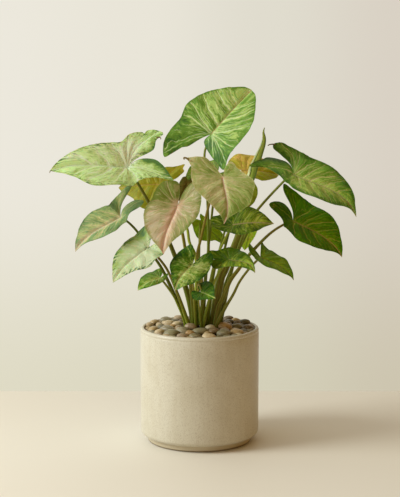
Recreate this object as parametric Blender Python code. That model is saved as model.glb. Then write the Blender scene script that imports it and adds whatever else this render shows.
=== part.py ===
"""Potted syngonium: a stoneware cover pot, its soil and pebbles, and twenty-one stalked leaves.

Metres, +Z up, origin at the centre of the pot's flat foot. The front of the plant looks towards -Y.
Leaf sizes are written in millimetres and turned into metres where a mesh is made.
"""

from math import cos, pi, radians, sin, tanh
from random import Random

import bmesh
import bpy
from mathutils import Matrix, Vector

MM = 0.001
FIT_GAP = 0.3 * MM

POT_HEIGHT = 0.1434
POT_RADIUS = 0.0750
POT_WALL = 0.0050
POT_FLOOR = 0.0070
POT_SIDES = 48
RIM_OUTER_ROUND = 0.0032
RIM_INNER_ROUND = 0.0016
BASE_ROUND = 0.0060
FOOT_HEIGHT = 0.0083
FOOT_RADIUS = 0.0660
FOOT_CHAMFER = 0.0010
INNER_ROUND = 0.0040

SOIL_TOP = POT_HEIGHT - 0.0130
SOIL_RADIUS = POT_RADIUS - POT_WALL - FIT_GAP
STALK_DEPTH = 0.0220
HOLE_SIDES = 8

PEBBLE_BED_THICKNESS = 0.0104
MOUND_HEIGHT = 0.0042
MOUND_RADIUS = 0.0660
PEBBLE_SEED = 11
PEBBLE_RINGS = ((0.0605, 26), (0.0490, 20), (0.0385, 13))
PEBBLE_HALF_LENGTH = (6.0, 9.5)
PEBBLE_WIDTH_SHARE = (0.66, 0.85)
PEBBLE_HALF_THICKNESS = (3.6, 4.8)
PEBBLE_TILT = 0.2
STEM_OPENING = 0.0290
STEM_OPENING_AT = Vector((0.0005, -0.0035, 0.0))
STONE_MARGIN = 0.0070

BLADE_THICKNESS = 0.9
BLADE_RINGS = 3
HALF_POINTS = 11
WAVE_TURN = 2.4
LOBE_SWAY_REACH = 12.0
RIB_LENGTH = 0.42
RIB_RADII = (1.5, 0.7)
STALK_TAPER = (1.0, 0.8, 0.62, 0.5)
STALK_STEP = 17.0
CURVE_STEPS = 16


def clear_scene():
    for obj in list(bpy.data.objects):
        bpy.data.objects.remove(obj, do_unlink=True)


def make_material(name, colour, roughness):
    material = bpy.data.materials.new(name)
    material.use_nodes = True
    shader = material.node_tree.nodes["Principled BSDF"]
    shader.inputs["Base Color"].default_value = (*colour, 1.0)
    shader.inputs["Roughness"].default_value = roughness
    shader.inputs["Metallic"].default_value = 0.0
    material.diffuse_color = (*colour, 1.0)
    return material


def make_object(name, bm, material, smooth_angle=None):
    mesh = bpy.data.meshes.new(name)
    bm.to_mesh(mesh)
    bm.free()
    if material is not None:
        mesh.materials.append(material)
    if smooth_angle is not None:
        mesh.shade_smooth()
        mesh.set_sharp_from_angle(angle=radians(smooth_angle))
    obj = bpy.data.objects.new(name, mesh)
    bpy.context.scene.collection.objects.link(obj)
    return obj


def take_modifiers(obj):
    """Turns the object's modifiers into its mesh."""
    graph = bpy.context.evaluated_depsgraph_get()
    mesh = bpy.data.meshes.new_from_object(obj.evaluated_get(graph))
    obj.modifiers.clear()
    obj.data = mesh


def combine(obj, others, operation, solver="EXACT"):
    """One Boolean of the object with a collection of the others, which are then removed."""
    group = bpy.data.collections.new("helpers")
    bpy.context.scene.collection.children.link(group)
    for other in others:
        bpy.context.scene.collection.objects.unlink(other)
        group.objects.link(other)
    modifier = obj.modifiers.new("combine", "BOOLEAN")
    modifier.operation = operation
    modifier.operand_type = "COLLECTION"
    modifier.collection = group
    modifier.solver = solver
    take_modifiers(obj)
    for other in others:
        bpy.data.objects.remove(other, do_unlink=True)
    bpy.data.collections.remove(group)


def arc(centre_r, centre_z, radius, start, end, steps):
    """Points of a round edge in a turned profile, by its start and end angle in degrees."""
    angles = [radians(start + (end - start) * i / steps) for i in range(steps + 1)]
    return [(centre_r + radius * cos(a), centre_z + radius * sin(a)) for a in angles]


def turned(profile, sides):
    """A closed solid of revolution about Z, from (radius, height) points that start and end on the axis."""
    bm = bmesh.new()
    verts = [bm.verts.new((r, 0.0, z)) for r, z in profile]
    edges = [bm.edges.new(pair) for pair in zip(verts, verts[1:])]
    bmesh.ops.spin(
        bm, geom=verts + edges, axis=(0, 0, 1), cent=(0, 0, 0), angle=2 * pi, steps=sides, use_merge=True
    )
    bmesh.ops.remove_doubles(bm, verts=bm.verts, dist=1e-6)
    bmesh.ops.recalc_face_normals(bm, faces=bm.faces)
    return bm


def build_pot():
    inner = POT_RADIUS - POT_WALL
    profile = [(0.0, 0.0), (FOOT_RADIUS - FOOT_CHAMFER, 0.0)]
    profile += [(FOOT_RADIUS, FOOT_CHAMFER), (FOOT_RADIUS, FOOT_HEIGHT)]
    profile += arc(POT_RADIUS - BASE_ROUND, FOOT_HEIGHT + BASE_ROUND, BASE_ROUND, -90, 0, 4)
    profile += arc(POT_RADIUS - RIM_OUTER_ROUND, POT_HEIGHT - RIM_OUTER_ROUND, RIM_OUTER_ROUND, 0, 90, 4)
    profile += arc(inner + RIM_INNER_ROUND, POT_HEIGHT - RIM_INNER_ROUND, RIM_INNER_ROUND, 90, 180, 3)
    profile += arc(inner - INNER_ROUND, POT_FLOOR + INNER_ROUND, INNER_ROUND, 0, -90, 3)
    profile += [(0.0, POT_FLOOR)]
    glaze = make_material("glazed stoneware", (0.62, 0.52, 0.39), 0.42)
    return make_object("pot", turned(profile, POT_SIDES), glaze, 40)


def cylinder(name, radius, low, high, centre, sides):
    bm = bmesh.new()
    at = Matrix.Translation((centre[0], centre[1], (low + high) / 2))
    bmesh.ops.create_cone(
        bm, cap_ends=True, segments=sides, radius1=radius, radius2=radius, depth=high - low, matrix=at
    )
    return make_object(name, bm, None)


def build_soil(stalks):
    """The soil fills the pot, with a plain hole for the foot of each stalk."""
    low = POT_FLOOR + FIT_GAP
    chamfer = INNER_ROUND + FIT_GAP
    profile = [(0.0, low), (SOIL_RADIUS - chamfer, low), (SOIL_RADIUS, low + chamfer)]
    profile += [(SOIL_RADIUS, SOIL_TOP), (0.0, SOIL_TOP)]
    mix = make_material("potting soil", (0.05, 0.035, 0.025), 0.95)
    soil = make_object("soil", turned(profile, POT_SIDES), mix)
    bottom = SOIL_TOP - STALK_DEPTH - 2 * FIT_GAP
    above = SOIL_TOP + 0.01
    holes = [
        cylinder("hole", radius + 2 * FIT_GAP, bottom, above, foot, HOLE_SIDES) for foot, radius in stalks
    ]
    combine(soil, holes, "DIFFERENCE")
    return soil


def mound(radius_at):
    """How far the gravel rises above its edge, at this distance from the pot's axis."""
    return MOUND_HEIGHT * max(0.0, 1 - (radius_at / MOUND_RADIUS) ** 2)


def pebble(rng, radius_at, angle):
    """One smooth stone of six sides, lying nearly flat and sunk into the bed."""
    long_half = rng.uniform(*PEBBLE_HALF_LENGTH) * MM
    wide_half = long_half * rng.uniform(*PEBBLE_WIDTH_SHARE)
    thick_half = rng.uniform(*PEBBLE_HALF_THICKNESS) * MM
    height = POT_HEIGHT + mound(radius_at) + rng.uniform(-0.8, 0.8) * MM
    bm = bmesh.new()
    bmesh.ops.create_uvsphere(bm, u_segments=6, v_segments=3, radius=1.0)
    place = Matrix.Translation((radius_at * cos(angle), radius_at * sin(angle), height))
    turn = Matrix.Rotation(rng.uniform(0, pi), 4, "Z")
    tilt = Matrix.Rotation(rng.uniform(-PEBBLE_TILT, PEBBLE_TILT), 4, "Y")
    size = Matrix.Diagonal((long_half, wide_half, thick_half, 1.0))
    bmesh.ops.transform(bm, matrix=place @ turn @ tilt @ size, verts=bm.verts)
    return make_object("pebble", bm, None)


def build_pebble_bed():
    """A thin ring of gravel with the larger stones fused to it, open in the middle where the stems stand."""
    low = SOIL_TOP + FIT_GAP
    profile = [(0.0, low), (SOIL_RADIUS, low)]
    profile += [(r, low + PEBBLE_BED_THICKNESS + mound(r)) for r in (SOIL_RADIUS, 0.055, 0.040, 0.0)]
    stone = make_material("river pebbles", (0.30, 0.26, 0.20), 0.4)
    ring = make_object("pebble_bed", turned(profile, POT_SIDES), stone)
    opening = cylinder("opening", STEM_OPENING, low - 0.01, low + 0.02, STEM_OPENING_AT, 24)
    combine(ring, [opening], "DIFFERENCE")
    rng = Random(PEBBLE_SEED)
    stones = []
    for radius_at, count in PEBBLE_RINGS:
        start = rng.uniform(0, 2 * pi)
        for i in range(count):
            angle = start + 2 * pi * (i + rng.uniform(-0.14, 0.14)) / count
            at = radius_at + rng.uniform(-1.2, 0.6) * MM
            away = (Vector((at * cos(angle), at * sin(angle), 0.0)) - STEM_OPENING_AT).length
            if away > STEM_OPENING + STONE_MARGIN:
                stones.append(pebble(rng, at, angle))
    combine(ring, stones, "UNION")
    limit = cylinder("limit", SOIL_RADIUS, low, POT_HEIGHT + 0.02, (0.0, 0.0), POT_SIDES)
    combine(ring, [limit], "INTERSECT")
    return ring


def smooth_line(points, count):
    """A Catmull-Rom curve through the points, read at equal steps of its length."""
    points = [Vector(p) for p in points]
    ends = [2 * points[0] - points[1], *points, 2 * points[-1] - points[-2]]
    fine = []
    for a, b, c, d in zip(ends, ends[1:], ends[2:], ends[3:]):
        for i in range(CURVE_STEPS):
            t = i / CURVE_STEPS
            square = (2 * a - 5 * b + 4 * c - d) * t**2
            cube = (3 * b - a - 3 * c + d) * t**3
            fine.append(0.5 * (2 * b + (c - a) * t + square + cube))
    fine.append(points[-1])
    reach = [0.0]
    for a, b in zip(fine, fine[1:]):
        reach.append(reach[-1] + (b - a).length)
    line = []
    for i in range(count):
        wanted = reach[-1] * i / (count - 1)
        k = next((j for j in range(1, len(reach)) if reach[j] >= wanted), len(reach) - 1)
        span = reach[k] - reach[k - 1]
        line.append(fine[k - 1].lerp(fine[k], (wanted - reach[k - 1]) / span if span else 0.0))
    return line


class Blade:
    """An arrow-shaped blade in millimetres, from its joint at the stalk to its tip.

    Its outline is drawn flat, as (along the midrib, out from the midrib), for the left and the right half.
    The halves rise from the midrib by the angles in fold, and the two lobes behind the joint by lift.
    """

    def __init__(
        self, joint, tip, roll, left, right, fold=(8, 8), lift=(0, 0), arch=3, bow=0, sway=0, cup=-2, wave=0.8
    ):
        self.joint = Vector(joint)
        self.length = (Vector(tip) - self.joint).length
        self.along = (Vector(tip) - self.joint).normalized()
        level = self.along.cross(Vector((0, 0, 1))).normalized()
        self.across = Matrix.Rotation(radians(roll), 3, self.along) @ level
        self.up = self.across.cross(self.along)
        self.arch, self.bow, self.sway, self.cup, self.wave = arch, bow, sway, cup, wave
        self.halves = {}
        for side, outline, angle, rise in ((-1, left, fold[0], lift[0]), (1, right, fold[1], lift[1])):
            self.halves[side] = {
                "outline": smooth_line([(self.length, 0), *outline, (0, 0)], HALF_POINTS + 1),
                "fold": radians(angle),
                "lift": rise,
                "width": max(b for _, b in outline),
                "back": min(a for a, _ in outline),
            }

    def point(self, side, a, b, ripple=0.0):
        """Where a flat point of one half lies in space."""
        half = self.halves[side]
        t = a / self.length
        rise = b * sin(half["fold"]) + ripple + self.cup * (b / half["width"]) ** 2
        if a >= 0:
            rise += 4 * self.arch * t * (1 - t)
            shift = 6.75 * self.bow * t * t * (1 - t)
        else:
            rise += 4 * self.arch * t + half["lift"] * (a / half["back"]) ** 1.5
            shift = self.sway * tanh(-a / LOBE_SWAY_REACH)
        out = side * b * cos(half["fold"]) + shift
        return self.joint + self.along * a + self.across * out + self.up * rise

    def mesh(self):
        """The blade as one closed solid, its two faces split alike."""
        bm = bmesh.new()
        columns = 2 * HALF_POINTS
        bmesh.ops.create_grid(bm, x_segments=columns, y_segments=BLADE_RINGS, size=1.0)
        for vert in bm.verts:
            column = round((vert.co.x + 1) / 2 * columns)
            ring = round((vert.co.y + 1) / 2 * BLADE_RINGS) / BLADE_RINGS
            side = -1 if column < HALF_POINTS else 1
            step = abs(column - HALF_POINTS)
            a, b = self.halves[side]["outline"][step] * ring
            ripple = self.wave * sin(WAVE_TURN * step + side) * ring**2 * sin(pi * step / HALF_POINTS)
            vert.co = self.point(side, a, b, ripple) * MM
        bmesh.ops.remove_doubles(bm, verts=bm.verts, dist=1e-7)
        bmesh.ops.dissolve_degenerate(bm, edges=bm.edges, dist=1e-7)
        bmesh.ops.triangulate(bm, faces=bm.faces)
        lower = bmesh.ops.extrude_face_region(bm, geom=bm.faces[:], use_keep_orig=True)
        moved = [item for item in lower["geom"] if isinstance(item, bmesh.types.BMVert)]
        bmesh.ops.translate(bm, vec=self.up * -BLADE_THICKNESS * MM, verts=moved)
        bmesh.ops.recalc_face_normals(bm, faces=bm.faces)
        return bm


def stalk(points, radii, sides_level=1):
    """A tapering stalk in millimetres along a smooth line through the points."""
    points = [Vector(p) for p in points]
    length = sum((b - a).length for a, b in zip(points, points[1:]))
    count = max(4, round(length / STALK_STEP))
    line = smooth_line(points, count)
    curve = bpy.data.curves.new("stalk", "CURVE")
    curve.dimensions = "3D"
    curve.bevel_depth = MM
    curve.bevel_resolution = sides_level
    curve.use_fill_caps = True
    spline = curve.splines.new("POLY")
    spline.points.add(count - 1)
    for i, (point, at) in enumerate(zip(spline.points, line)):
        place = i / (count - 1) * (len(radii) - 1)
        k = min(int(place), len(radii) - 2)
        point.co = (*(at * MM), 1.0)
        point.radius = radii[k] + (radii[k + 1] - radii[k]) * (place - k)
    helper = bpy.data.objects.new("stalk", curve)
    bpy.context.scene.collection.objects.link(helper)
    graph = bpy.context.evaluated_depsgraph_get()
    bm = bmesh.new()
    bm.from_mesh(bpy.data.meshes.new_from_object(helper.evaluated_get(graph)))
    bmesh.ops.remove_doubles(bm, verts=bm.verts, dist=1e-6)
    bmesh.ops.recalc_face_normals(bm, faces=bm.faces)
    bpy.data.objects.remove(helper, do_unlink=True)
    return bm


def foot_points(foot):
    """The stalk's foot stands straight in its hole."""
    top = SOIL_TOP / MM
    return [(*foot, top - STALK_DEPTH / MM), (*foot, top + 1.0), (*foot, top + 9.0)]


def build_leaf(name, colour, foot, thick, via, blade):
    """One leaf: its stalk from the soil to the joint and on under the blade as the midrib."""
    shares = (0.0, 0.5 * RIB_LENGTH, RIB_LENGTH)
    rib = [blade.point(1, blade.length * share, 0) - blade.up * BLADE_THICKNESS for share in shares]
    leaf = make_object(name, blade.mesh(), make_material(name, colour, 0.45))
    points = foot_points(foot) + [*via, *rib]
    radii = [thick * share for share in STALK_TAPER] + list(RIB_RADII)
    helper = make_object("stalk", stalk(points, radii), None)
    combine(leaf, [helper], "UNION", "MANIFOLD")
    return (foot[0] * MM, foot[1] * MM), thick * MM


GREEN = (0.16, 0.30, 0.06)
DARK_GREEN = (0.07, 0.17, 0.03)
PALE = (0.45, 0.58, 0.28)
PINK = (0.50, 0.36, 0.24)
OLIVE = (0.33, 0.34, 0.12)
AMBER = (0.55, 0.36, 0.13)


def build_leaves():
    feet = []

    feet.append(build_leaf(
        "leaf_top", GREEN, foot=(-3, -2), thick=3.2,
        via=[(-2, -8, 237), (1, -8, 257), (10, -6, 301), (9, -4, 350)],
        blade=Blade(
            joint=(14, -5, 389), tip=(65, 15, 443), roll=60, fold=(5, 20), lift=(8, -12), sway=-6,
            left=[(74, 9), (66, 17), (55, 27), (34, 41), (7, 48), (-11, 38), (-34, 35), (-50, 29),
                (-60, 17), (-42, 14), (-28, 4), (-10, 3)],
            right=[(74, 9), (65, 18), (44, 33), (24, 38), (1, 39), (-13, 46), (-24, 51), (-22, 34),
                (-18, 18), (-12, 4)],
        ),
    ))
    feet.append(build_leaf(
        "leaf_left_high", PALE, foot=(-12, -6), thick=3.4,
        via=[(-20, -8, 200), (-37, -12, 253), (-65, -16, 307), (-82, -19, 333)],
        blade=Blade(
            joint=(-89, -20, 349), tip=(-182, -45, 347), roll=-46, fold=(14, 14), lift=(9, 12), arch=4,
                bow=4, sway=13,
            left=[(85, 9), (70, 21), (48, 39), (16, 36), (-12, 36), (-41, 41), (-53, 44), (-47, 24),
                (-36, 6), (-15, 3)],
            right=[(83, 10), (58, 23), (25, 33), (-2, 36), (-30, 38), (-43, 38), (-52, 30), (-47, 23),
                (-36, 13), (-12, 3)],
        ),
    ))
    feet.append(build_leaf(
        "leaf_left_low", GREEN, foot=(-20, -3), thick=3.2,
        via=[(-34, -20, 197), (-55, -27, 238), (-77, -32, 270), (-93, -33, 286)],
        blade=Blade(
            joint=(-97, -35, 289), tip=(-151, -60, 250), roll=-32, fold=(16, 14), lift=(4, 8), bow=5,
                sway=15,
            left=[(57, 7), (37, 18), (20, 20), (5, 14), (-9, 17), (-23, 22), (-35, 19), (-30, 8),
                (-20, 3)],
            right=[(64, 6), (56, 11), (42, 20), (21, 28), (5, 26), (-12, 17), (-31, 17), (-41, 13),
                (-28, 8), (-15, 4)],
        ),
    ))
    feet.append(build_leaf(
        "leaf_left_pale", PALE, foot=(-15, -15), thick=3.0,
        via=[(-34, -36, 200), (-46, -46, 225), (-55, -53, 246)],
        blade=Blade(
            joint=(-62, -55, 255), tip=(-104, -85, 216), roll=-23, lift=(9, 14), bow=3,
            left=[(54, 8), (42, 15), (31, 25), (22, 28), (11, 25), (-4, 25), (-10, 20), (-9, 10)],
            right=[(54, 8), (44, 16), (30, 24), (12, 28), (-7, 27), (-19, 21), (-23, 15), (-14, 7)],
        ),
    ))
    feet.append(build_leaf(
        "leaf_pink_front", PINK, foot=(-6, -11), thick=3.2,
        via=[(-12, -22, 206), (-19, -36, 255), (-23, -47, 280), (-26, -68, 303)],
        blade=Blade(
            joint=(-26, -75, 309), tip=(-43, -92, 251), roll=-42, fold=(14, 8), lift=(2, -1), arch=4,
                bow=4,
            left=[(55, 5), (45, 11), (34, 19), (21, 25), (11, 28), (-3, 28), (-14, 26), (-28, 21),
                (-35, 12), (-20, 3)],
            right=[(57, 5), (51, 13), (41, 24), (31, 30), (23, 34), (13, 35), (2, 32), (-10, 31),
                (-21, 27), (-27, 17), (-18, 5)],
        ),
    ))
    feet.append(build_leaf(
        "leaf_rose_centre", PINK, foot=(5, -10), thick=3.2,
        via=[(11, -25, 244), (9, -30, 278), (20, -40, 318), (26, -53, 334)],
        blade=Blade(
            joint=(28, -60, 341), tip=(29, -88, 287), roll=-2, lift=(-4, -1), arch=5,
            left=[(55, 4), (50, 12), (43, 24), (37, 31), (26, 35), (13, 38), (5, 36), (-2, 28),
                (-12, 20), (-24, 12), (-16, 4)],
            right=[(52, 4), (44, 11), (34, 21), (22, 31), (5, 37), (-9, 39), (-22, 46), (-27, 40),
                (-24, 25), (-13, 9)],
        ),
    ))
    feet.append(build_leaf(
        "leaf_right_high", GREEN, foot=(24, -3), thick=3.4,
        via=[(41, -3, 221), (58, -5, 271), (73, -8, 296), (107, -14, 334)],
        blade=Blade(
            joint=(116, -15, 340), tip=(192, -40, 290), roll=31, fold=(12, 12), lift=(5, -3), arch=4,
                bow=-12, sway=-19,
            left=[(84, 7), (74, 15), (49, 28), (30, 34), (10, 37), (-12, 27), (-38, 19), (-47, 10),
                (-38, 3), (-16, 2)],
            right=[(84, 4), (75, 12), (63, 26), (39, 33), (17, 31), (2, 24), (-10, 30), (-38, 46),
                (-49, 46), (-47, 31), (-38, 10), (-16, 3)],
        ),
    ))
    feet.append(build_leaf(
        "leaf_right_low", DARK_GREEN, foot=(21, -10), thick=3.6,
        via=[(32, -12, 188), (49, -17, 223), (77, -25, 257), (105, -30, 279)],
        blade=Blade(
            joint=(115, -30, 284), tip=(173, -60, 243), roll=26, fold=(12, 12), lift=(17, 13), arch=4,
                bow=-6, sway=-16,
            left=[(70, 7), (59, 15), (45, 26), (27, 33), (9, 36), (-8, 29), (-26, 22), (-41, 15),
                (-29, 8), (-13, 3)],
            right=[(69, 5), (54, 24), (41, 32), (27, 33), (12, 26), (-4, 22), (-17, 26), (-31, 31),
                (-31, 17), (-24, 5), (-10, 2)],
        ),
    ))
    feet.append(build_leaf(
        "leaf_mid_right", GREEN, foot=(13, -12), thick=2.8,
        via=[(24, -20, 220), (33, -32, 262), (37, -42, 276)],
        blade=Blade(
            joint=(41, -45, 281), tip=(90, -60, 284), roll=40, fold=(12, 12), lift=(11, 11),
            left=[(46, 5), (42, 9), (33, 17), (25, 22), (17, 24), (6, 21), (-9, 17), (-28, 12),
                (-17, 5)],
            right=[(46, 4), (41, 8), (33, 16), (20, 21), (8, 20), (-3, 15), (-15, 11), (-23, 8),
                (-14, 3)],
        ),
    ))
    feet.append(build_leaf(
        "leaf_low_right", GREEN, foot=(18, -19), thick=3.0,
        via=[(23, -20, 158), (39, -23, 186), (63, -30, 223), (71, -33, 234)],
        blade=Blade(
            joint=(75, -35, 240), tip=(115, -55, 214), roll=13, fold=(12, 12), lift=(7, 8), bow=-4,
                sway=-8,
            left=[(43, 6), (33, 12), (21, 16), (6, 18), (-8, 15), (-18, 12), (-11, 5)],
            right=[(44, 4), (35, 12), (28, 16), (19, 19), (7, 17), (-5, 13), (-14, 12), (-21, 10),
                (-12, 4)],
        ),
    ))
    feet.append(build_leaf(
        "leaf_low_centre", GREEN, foot=(10, -20), thick=2.6,
        via=[(17, -34, 185), (31, -50, 228)],
        blade=Blade(
            joint=(35, -55, 240), tip=(66, -95, 226), roll=37, lift=(16, 10), bow=-6, sway=9,
            left=[(42, 4), (34, 9), (24, 13), (9, 17), (-5, 19), (-16, 18), (-26, 12), (-24, 5),
                (-10, 3)],
            right=[(44, 4), (31, 9), (18, 13), (7, 16), (-3, 18), (-12, 14), (-9, 6)],
        ),
    ))
    feet.append(build_leaf(
        "leaf_low_left", GREEN, foot=(-4, -20), thick=2.6,
        via=[(-7, -42, 190), (-9, -57, 224)],
        blade=Blade(
            joint=(-8, -65, 236), tip=(-29, -88, 207), roll=-27, lift=(7, 7), bow=3,
            left=[(39, 5), (33, 12), (26, 19), (19, 23), (8, 24), (-5, 22), (-17, 19), (-22, 12),
                (-14, 4)],
            right=[(36, 5), (27, 12), (18, 20), (9, 24), (-5, 24), (-16, 20), (-22, 14), (-13, 5)],
        ),
    ))
    feet.append(build_leaf(
        "leaf_small_front", GREEN, foot=(3, -22), thick=2.2,
        via=[(0, -34, 170), (-2, -52, 204), (0, -64, 209)],
        blade=Blade(
            joint=(2, -72, 202), tip=(19, -92, 198), roll=34, lift=(1, 4), arch=2, wave=0.4,
            left=[(22, 6), (13, 13), (0, 17), (-12, 14), (-11, 5)],
            right=[(21, 6), (12, 11), (-3, 12), (-13, 8), (-9, 2)],
        ),
    ))
    feet.append(build_leaf(
        "leaf_small_left", PALE, foot=(-22, -12), thick=2.2,
        via=[(-28, -22, 175), (-39, -27, 199)],
        blade=Blade(
            joint=(-49, -32, 213), tip=(-76, -48, 200), roll=-15, lift=(3, 3), arch=2, bow=3, sway=6,
                wave=0.4,
            left=[(28, 6), (17, 12), (8, 11), (-4, 9), (-12, 6), (-8, 2)],
            right=[(25, 7), (14, 14), (3, 17), (-5, 15), (-12, 10), (-8, 3)],
        ),
    ))
    feet.append(build_leaf(
        "leaf_back_amber", AMBER, foot=(11, 15), thick=3.0,
        via=[(22, 26, 200), (40, 44, 270), (52, 56, 325)],
        blade=Blade(
            joint=(56, 60, 339), tip=(103, 75, 331), roll=35, fold=(5, 5),
            left=[(47, 10), (38, 21), (25, 29), (6, 32), (-4, 31), (-13, 23), (-17, 12), (-9, 4)],
            right=[(45, 8), (31, 18), (18, 21), (6, 18), (-5, 17), (-16, 13), (-8, 3)],
        ),
    ))
    feet.append(build_leaf(
        "leaf_back_olive", OLIVE, foot=(-11, 9), thick=3.0,
        via=[(-17, 16, 200), (-32, 28, 262), (-46, 40, 306)],
        blade=Blade(
            joint=(-51, 45, 322), tip=(-105, 60, 316), roll=-66, fold=(5, 5), lift=(-2, 1),
            left=[(48, 9), (35, 17), (28, 27), (18, 33), (6, 30), (-8, 24), (-16, 14), (-9, 4)],
            right=[(47, 8), (33, 13), (13, 19), (-7, 23), (-20, 25), (-32, 23), (-30, 16), (-18, 6)],
        ),
    ))
    feet.append(build_leaf(
        "leaf_back_mid", OLIVE, foot=(-3, 12), thick=2.6,
        via=[(-2, 18, 200), (-2, 26, 262)],
        blade=Blade(
            joint=(0, 30, 285), tip=(30, 45, 250), roll=111, fold=(5, 5), lift=(3, 7),
            left=[(43, 10), (30, 19), (13, 18), (0, 17), (-9, 9), (-5, 3)],
            right=[(40, 8), (31, 18), (18, 22), (4, 17), (-12, 9), (-7, 3)],
        ),
    ))
    feet.append(build_leaf(
        "leaf_back_tip", GREEN, foot=(20, 10), thick=2.6,
        via=[(30, 15, 190), (50, 21, 240), (64, 26, 268)],
        blade=Blade(
            joint=(66, 27, 276), tip=(58, 42, 237), roll=-162, fold=(5, 5), lift=(8, 8),
            left=[(36, 5), (24, 12), (6, 14), (-12, 11), (-10, 3)],
            right=[(36, 6), (24, 13), (8, 14), (-12, 12), (-10, 3)],
        ),
    ))
    feet.append(build_leaf(
        "leaf_back_high", GREEN, foot=(4, 7), thick=3.0,
        via=[(8, 12, 210), (16, 20, 290), (20, 22, 326)],
        blade=Blade(
            joint=(22, 22, 338), tip=(-19, 5, 327), roll=-40, fold=(5, 5), lift=(14, 10),
            left=[(40, 5), (30, 13), (12, 18), (-9, 16), (-24, 10), (-15, 3)],
            right=[(40, 9), (29, 20), (15, 26), (2, 25), (-8, 15), (-5, 5)],
        ),
    ))
    feet.append(build_leaf(
        "leaf_behind_right", OLIVE, foot=(9, -2), thick=2.6,
        via=[(18, -7, 215), (34, -10, 278), (45, -15, 320)],
        blade=Blade(
            joint=(48, -20, 330), tip=(61, -32, 301), roll=27, fold=(5, 5), lift=(0, 3),
            left=[(31, 7), (25, 14), (15, 19), (2, 19), (-11, 14), (-9, 4)],
            right=[(30, 6), (16, 11), (2, 12), (-13, 8), (-10, 3)],
        ),
    ))
    return feet


def build_rolled_leaf():
    """The new leaf, still rolled to a spike, on a thick stem that ends in its sheath."""
    foot = (14, 3)
    points = foot_points(foot) + [
        (18, 2, 153), (30, 3, 215), (46, 6, 258), (58, 10, 299), (66, 12, 333), (73, 12, 358), (80, 10, 375),
        (81, 10, 396),
    ]
    radii = (4.6, 4.9, 5.0, 5.0, 4.9, 4.7, 4.5, 4.2, 3.2, 2.8, 2.2, 0.5)
    make_object("leaf_rolled", stalk(points, radii, 2), make_material("leaf_rolled", GREEN, 0.4), 60)
    return (foot[0] * MM, foot[1] * MM), max(radii) * MM


def build():
    clear_scene()
    build_pot()
    feet = build_leaves()
    feet.append(build_rolled_leaf())
    build_soil(feet)
    build_pebble_bed()


build()
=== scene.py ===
from math import cos, exp, hypot, pi, radians, sin, tanh
from random import Random

import bmesh
import bpy
from mathutils import Matrix, Vector, noise
from mathutils.kdtree import KDTree


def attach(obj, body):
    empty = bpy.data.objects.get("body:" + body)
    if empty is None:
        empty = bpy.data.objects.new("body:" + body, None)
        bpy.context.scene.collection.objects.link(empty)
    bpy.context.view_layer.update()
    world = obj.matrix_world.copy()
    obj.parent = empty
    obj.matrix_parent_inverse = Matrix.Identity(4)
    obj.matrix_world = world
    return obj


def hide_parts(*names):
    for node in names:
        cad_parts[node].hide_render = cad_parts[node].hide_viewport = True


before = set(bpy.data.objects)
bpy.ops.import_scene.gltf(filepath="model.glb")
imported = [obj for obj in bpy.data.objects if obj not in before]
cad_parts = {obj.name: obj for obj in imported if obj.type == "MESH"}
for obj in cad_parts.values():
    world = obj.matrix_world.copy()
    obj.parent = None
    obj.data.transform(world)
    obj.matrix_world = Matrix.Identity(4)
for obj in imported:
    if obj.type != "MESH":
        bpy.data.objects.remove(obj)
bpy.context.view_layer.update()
mm = 0.001
print("frame loaded:", len(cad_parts), "nodes")


# Small helpers

def onScreen(red, green, blue):  # a colour as seen on a screen, made linear for the shaders
    return tuple(((c / 255 + 0.055) / 1.055) ** 2.4 for c in (red, green, blue)) + (1.0,)


def ease(value, low, high):  # 0 at low, 1 at high, smooth between
    t = min(1.0, max(0.0, (value - low) / (high - low)))
    return t * t * (3 - 2 * t)


def lumps(*at):  # smooth noise at a place, about -1 to 1
    return noise.noise(Vector(at))


def link(name, data):
    made = bpy.data.objects.new(name, data)
    bpy.context.scene.collection.objects.link(made)
    return made


def newMesh(numbers=(), vectors=()):  # an empty mesh with numbers and vectors kept at each corner
    bm = bmesh.new()
    for key in numbers:
        bm.verts.layers.float.new(key)
    for key in vectors:
        bm.verts.layers.float_vector.new(key)
    return bm


def addPiece(name, bm, finishes, slot, node=None, sharp=None):  # the mesh comes in mm
    bmesh.ops.recalc_face_normals(bm, faces=bm.faces)
    bmesh.ops.scale(bm, vec=(mm, mm, mm), verts=bm.verts)
    mesh = bpy.data.meshes.new(name)
    bm.to_mesh(mesh)
    bm.free()
    for finish in finishes:
        mesh.materials.append(finish)
    mesh.shade_smooth()
    if sharp is not None:
        mesh.set_sharp_from_angle(angle=radians(sharp))
    piece = link(name, mesh)
    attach(piece, "root")
    if node:
        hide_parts(node)
    return piece


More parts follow.
